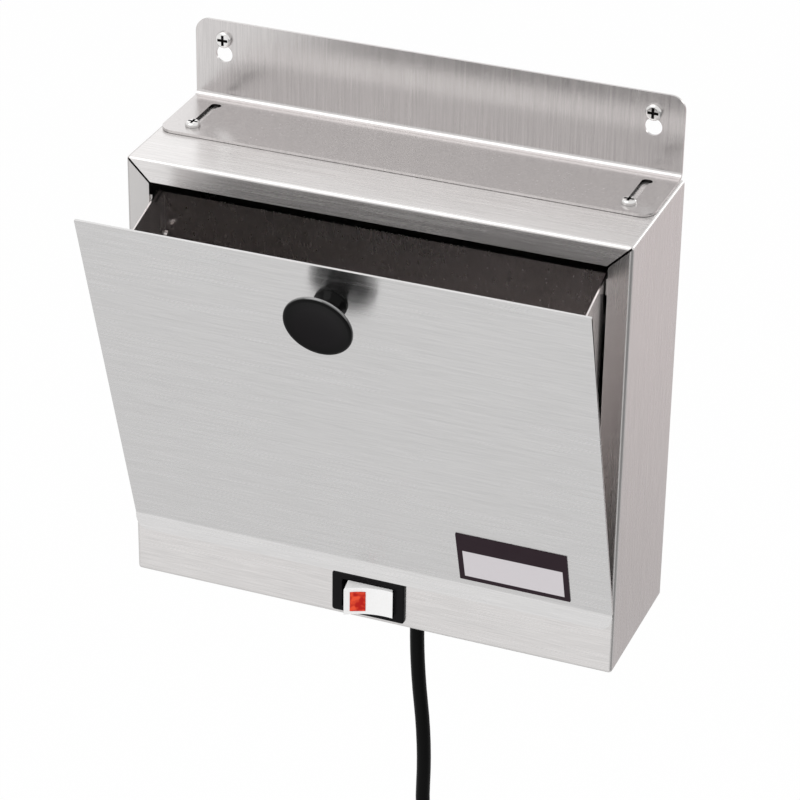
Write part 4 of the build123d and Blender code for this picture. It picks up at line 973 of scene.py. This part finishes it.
# Door knob, turned about its own axis with a shallow dish in its face. The profile holds radius
# and height above the door in millimetres.
knobSettings = {
    "profile": [
        (0.0, 0.0), (9.0, 0.0), (9.0, 1.2), (7.3, 3.0), (6.5, 5.4), (6.5, 8.0), (7.6, 11.4), (10.2, 13.8),
        (13.4, 15.0), (17.0, 15.6), (18.6, 16.4), (19.0, 17.4), (18.6, 18.5), (17.7, 19.0), (16.6, 18.9),
        (12.0, 18.35), (6.0, 17.9), (0.0, 17.8)],
    "steps": 72,
    "edge": 0.4 * mm,
    "edgeSegments": 3,
    "sharpAngle": 0.7,
    "smooth": 60.0,
    "dishRadius": 13.0 * mm,
    "rimRadius": 16.5 * mm,
    "rimHeight": 17.5 * mm,
    "paintedDishSheen": (0.004, 0.003, 0.0038),
    "rimIor": 4.0,
    "rimRoughness": 0.06,
}


def addKnobGloss(material, settings):
    # Painted sheen: a slightly paler dish; and a polished rim behind it
    tree = material.node_tree
    shader = tree.nodes["Principled BSDF"]
    dish = addNode(tree, "ShaderNodeAttribute", attribute_name="dish").outputs["Fac"]
    rim = addNode(tree, "ShaderNodeAttribute", attribute_name="rim").outputs["Fac"]
    plain = shader.inputs["Base Color"].links[0].from_socket
    # Painted sheen: the dish is coloured slightly paler than the rest of the knob
    tree.links.new(mixColour(tree, dish, plain, settings["paintedDishSheen"]), shader.inputs["Base Color"])
    shader.inputs["Coat IOR"].default_value = settings["rimIor"]
    shader.inputs["Coat Roughness"].default_value = settings["rimRoughness"]
    tree.links.new(rim, shader.inputs["Coat Weight"])


def makeKnob(settings):
    low, high = shutBox("knob")
    profile = [(radius * mm, height * mm) for radius, height in settings["profile"]]
    mesh = spinProfile(profile, settings["steps"])
    dish = mesh.verts.layers.float.new("dish")
    rim = mesh.verts.layers.float.new("rim")
    for vertex in mesh.verts:
        radius, height = math.hypot(vertex.co.x, vertex.co.y), vertex.co.z
        vertex[dish] = float(radius < settings["dishRadius"] and height > settings["rimHeight"])
        vertex[rim] = float(radius > settings["rimRadius"] and height < settings["rimHeight"])
    sharp = [edge for edge in mesh.edges
             if levelEdge(edge) and edge.calc_face_angle(0) > settings["sharpAngle"]]
    roundEdges(mesh, sharp, settings["edge"], settings["edgeSegments"])
    middle = (low + high) / 2
    shut = Matrix.Translation((middle.x, high.y, middle.z)) @ Matrix.Rotation(math.pi / 2, 4, "X")
    bmesh.ops.transform(mesh, matrix=openBin @ shut, verts=mesh.verts)
    finishMesh("doorKnob", mesh, "bin", knobBlack, ["knob"], smooth=settings["smooth"])


addKnobGloss(knobBlack, knobSettings)
makeKnob(knobSettings)
print("knob made")


# Studio: pale floor, white surroundings and soft lamps. What metal mirrors of the floor is less
# bright near the object than in front of it, dark to the right and warm behind. Each range of
# places is where one brightness passes into the next.
studioSettings = {
    "floorHeight": -1.05,
    "floorSize": 60.0,
    "floorColour": (0.86, 0.86, 0.86),
    "floorRoughness": 0.9,
    "floorWhite": 0.97,
    "mirroredNear": 0.84,
    "mirroredFar": 1.10,
    "farToNearY": (-1.9, -0.7),
    "mirroredRight": 0.35,
    "toRightX": (0.7, 1.2),
    "rightEndsY": (0.1, 0.9),
    "mirroredBehind": (0.61, 0.575, 0.575),
    "toBehindY": (0.5, 1.1),
    "mirroredBack": (0.76, 0.70, 0.70),
    "toBackY": (1.2, 1.8),
    "worldLight": 0.88,
    "lamps": [
        {"name": "overheadLamp", "place": (-0.85, -1.25, 2.0), "size": 2.4, "power": 16.5},
        {"name": "backLamp", "place": (-1.05, 1.55, 1.35), "size": 1.3, "power": 1.5},
        {"name": "edgeLamp", "place": (1.0, 1.47, 0.54), "size": 0.5, "power": 1.6},
    ],
    "aim": (0.0, -0.04, -0.15),
}


def seenShare(tree):
    # 1 for rays that look straight at it, or by way of metal or glass
    path = addNode(tree, "ShaderNodeLightPath")
    seen = mathNode(tree, "MAXIMUM", path.outputs["Is Camera Ray"], path.outputs["Is Glossy Ray"])
    return mathNode(tree, "MAXIMUM", seen, path.outputs["Is Transmission Ray"])


def makeWorld(settings):
    world = bpy.data.worlds.new("studioWorld")
    scene.world = world
    world.use_nodes = True
    tree = world.node_tree
    background = tree.nodes["Background"]
    background.inputs["Color"].default_value = (1.0, 1.0, 1.0, 1.0)
    strength = rangeNode(tree, seenShare(tree), settings["worldLight"], 1.0)
    tree.links.new(strength, background.inputs["Strength"])


def mirroredFloor(tree, settings):
    place = splitPlace(tree, addNode(tree, "ShaderNodeTexCoord").outputs["Object"])
    x, y = place[0], place[1]
    front = rangeNode(tree, y, settings["mirroredFar"], settings["mirroredNear"], *settings["farToNearY"])
    right = rangeNode(tree, x, 0.0, 1.0, *settings["toRightX"])
    right = mathNode(tree, "MULTIPLY", right, rangeNode(tree, y, 1.0, 0.0, *settings["rightEndsY"]))
    lost = mathNode(tree, "MULTIPLY", right, 1.0 - settings["mirroredRight"])
    bright = mathNode(tree, "MULTIPLY", front, mathNode(tree, "SUBTRACT", 1.0, lost))
    grey = addNode(tree, "ShaderNodeCombineColor")
    joinSockets(tree, [(bright, socket) for socket in grey.inputs])
    toBack = rangeNode(tree, y, 0.0, 1.0, *settings["toBackY"])
    behind = mixColour(tree, toBack, settings["mirroredBehind"], settings["mirroredBack"])
    return mixColour(tree, rangeNode(tree, y, 0.0, 1.0, *settings["toBehindY"]), grey.outputs[0], behind)


def makeFloorMaterial(settings):
    material, tree, shader = newMaterial(
        "studioFloor", settings["floorColour"], settings["floorRoughness"], 0.0)[:3]
    glow = addNode(tree, "ShaderNodeEmission")
    seen = addNode(tree, "ShaderNodeLightPath").outputs["Is Camera Ray"]
    white = (1.0, 1.0, 1.0)
    tree.links.new(mixColour(tree, seen, mirroredFloor(tree, settings), white), glow.inputs["Color"])
    blend = addNode(tree, "ShaderNodeMixShader")
    share = mathNode(tree, "MULTIPLY", seenShare(tree), settings["floorWhite"])
    joinSockets(tree, [
        (share, blend.inputs[0]),
        (shader.outputs[0], blend.inputs[1]),
        (glow.outputs[0], blend.inputs[2]),
        (blend.outputs[0], tree.nodes["Material Output"].inputs["Surface"])])
    return material


def makeFloor(settings):
    mesh = bmesh.new()
    bmesh.ops.create_grid(mesh, x_segments=1, y_segments=1, size=settings["floorSize"] / 2,
                          matrix=Matrix.Translation((0, 0, settings["floorHeight"])))
    data = bpy.data.meshes.new("studioFloor")
    mesh.to_mesh(data)
    mesh.free()
    data.materials.append(makeFloorMaterial(settings))
    floor = bpy.data.objects.new("studioFloor", data)
    scene.collection.objects.link(floor)


def makeLamp(name, place, size, power, aim):
    data = bpy.data.lights.new(name, "AREA")
    data.shape = "DISK"
    data.size = size
    data.energy = power
    lamp = bpy.data.objects.new(name, data)
    lamp.location = place
    lamp.rotation_mode = "QUATERNION"
    lamp.rotation_quaternion = (Vector(aim) - Vector(place)).to_track_quat("-Z", "Y")
    lamp.visible_camera = False
    scene.collection.objects.link(lamp)


makeWorld(studioSettings)
makeFloor(studioSettings)
for lampSettings in studioSettings["lamps"]:
    makeLamp(**lampSettings, aim=studioSettings["aim"])
print("studio made")
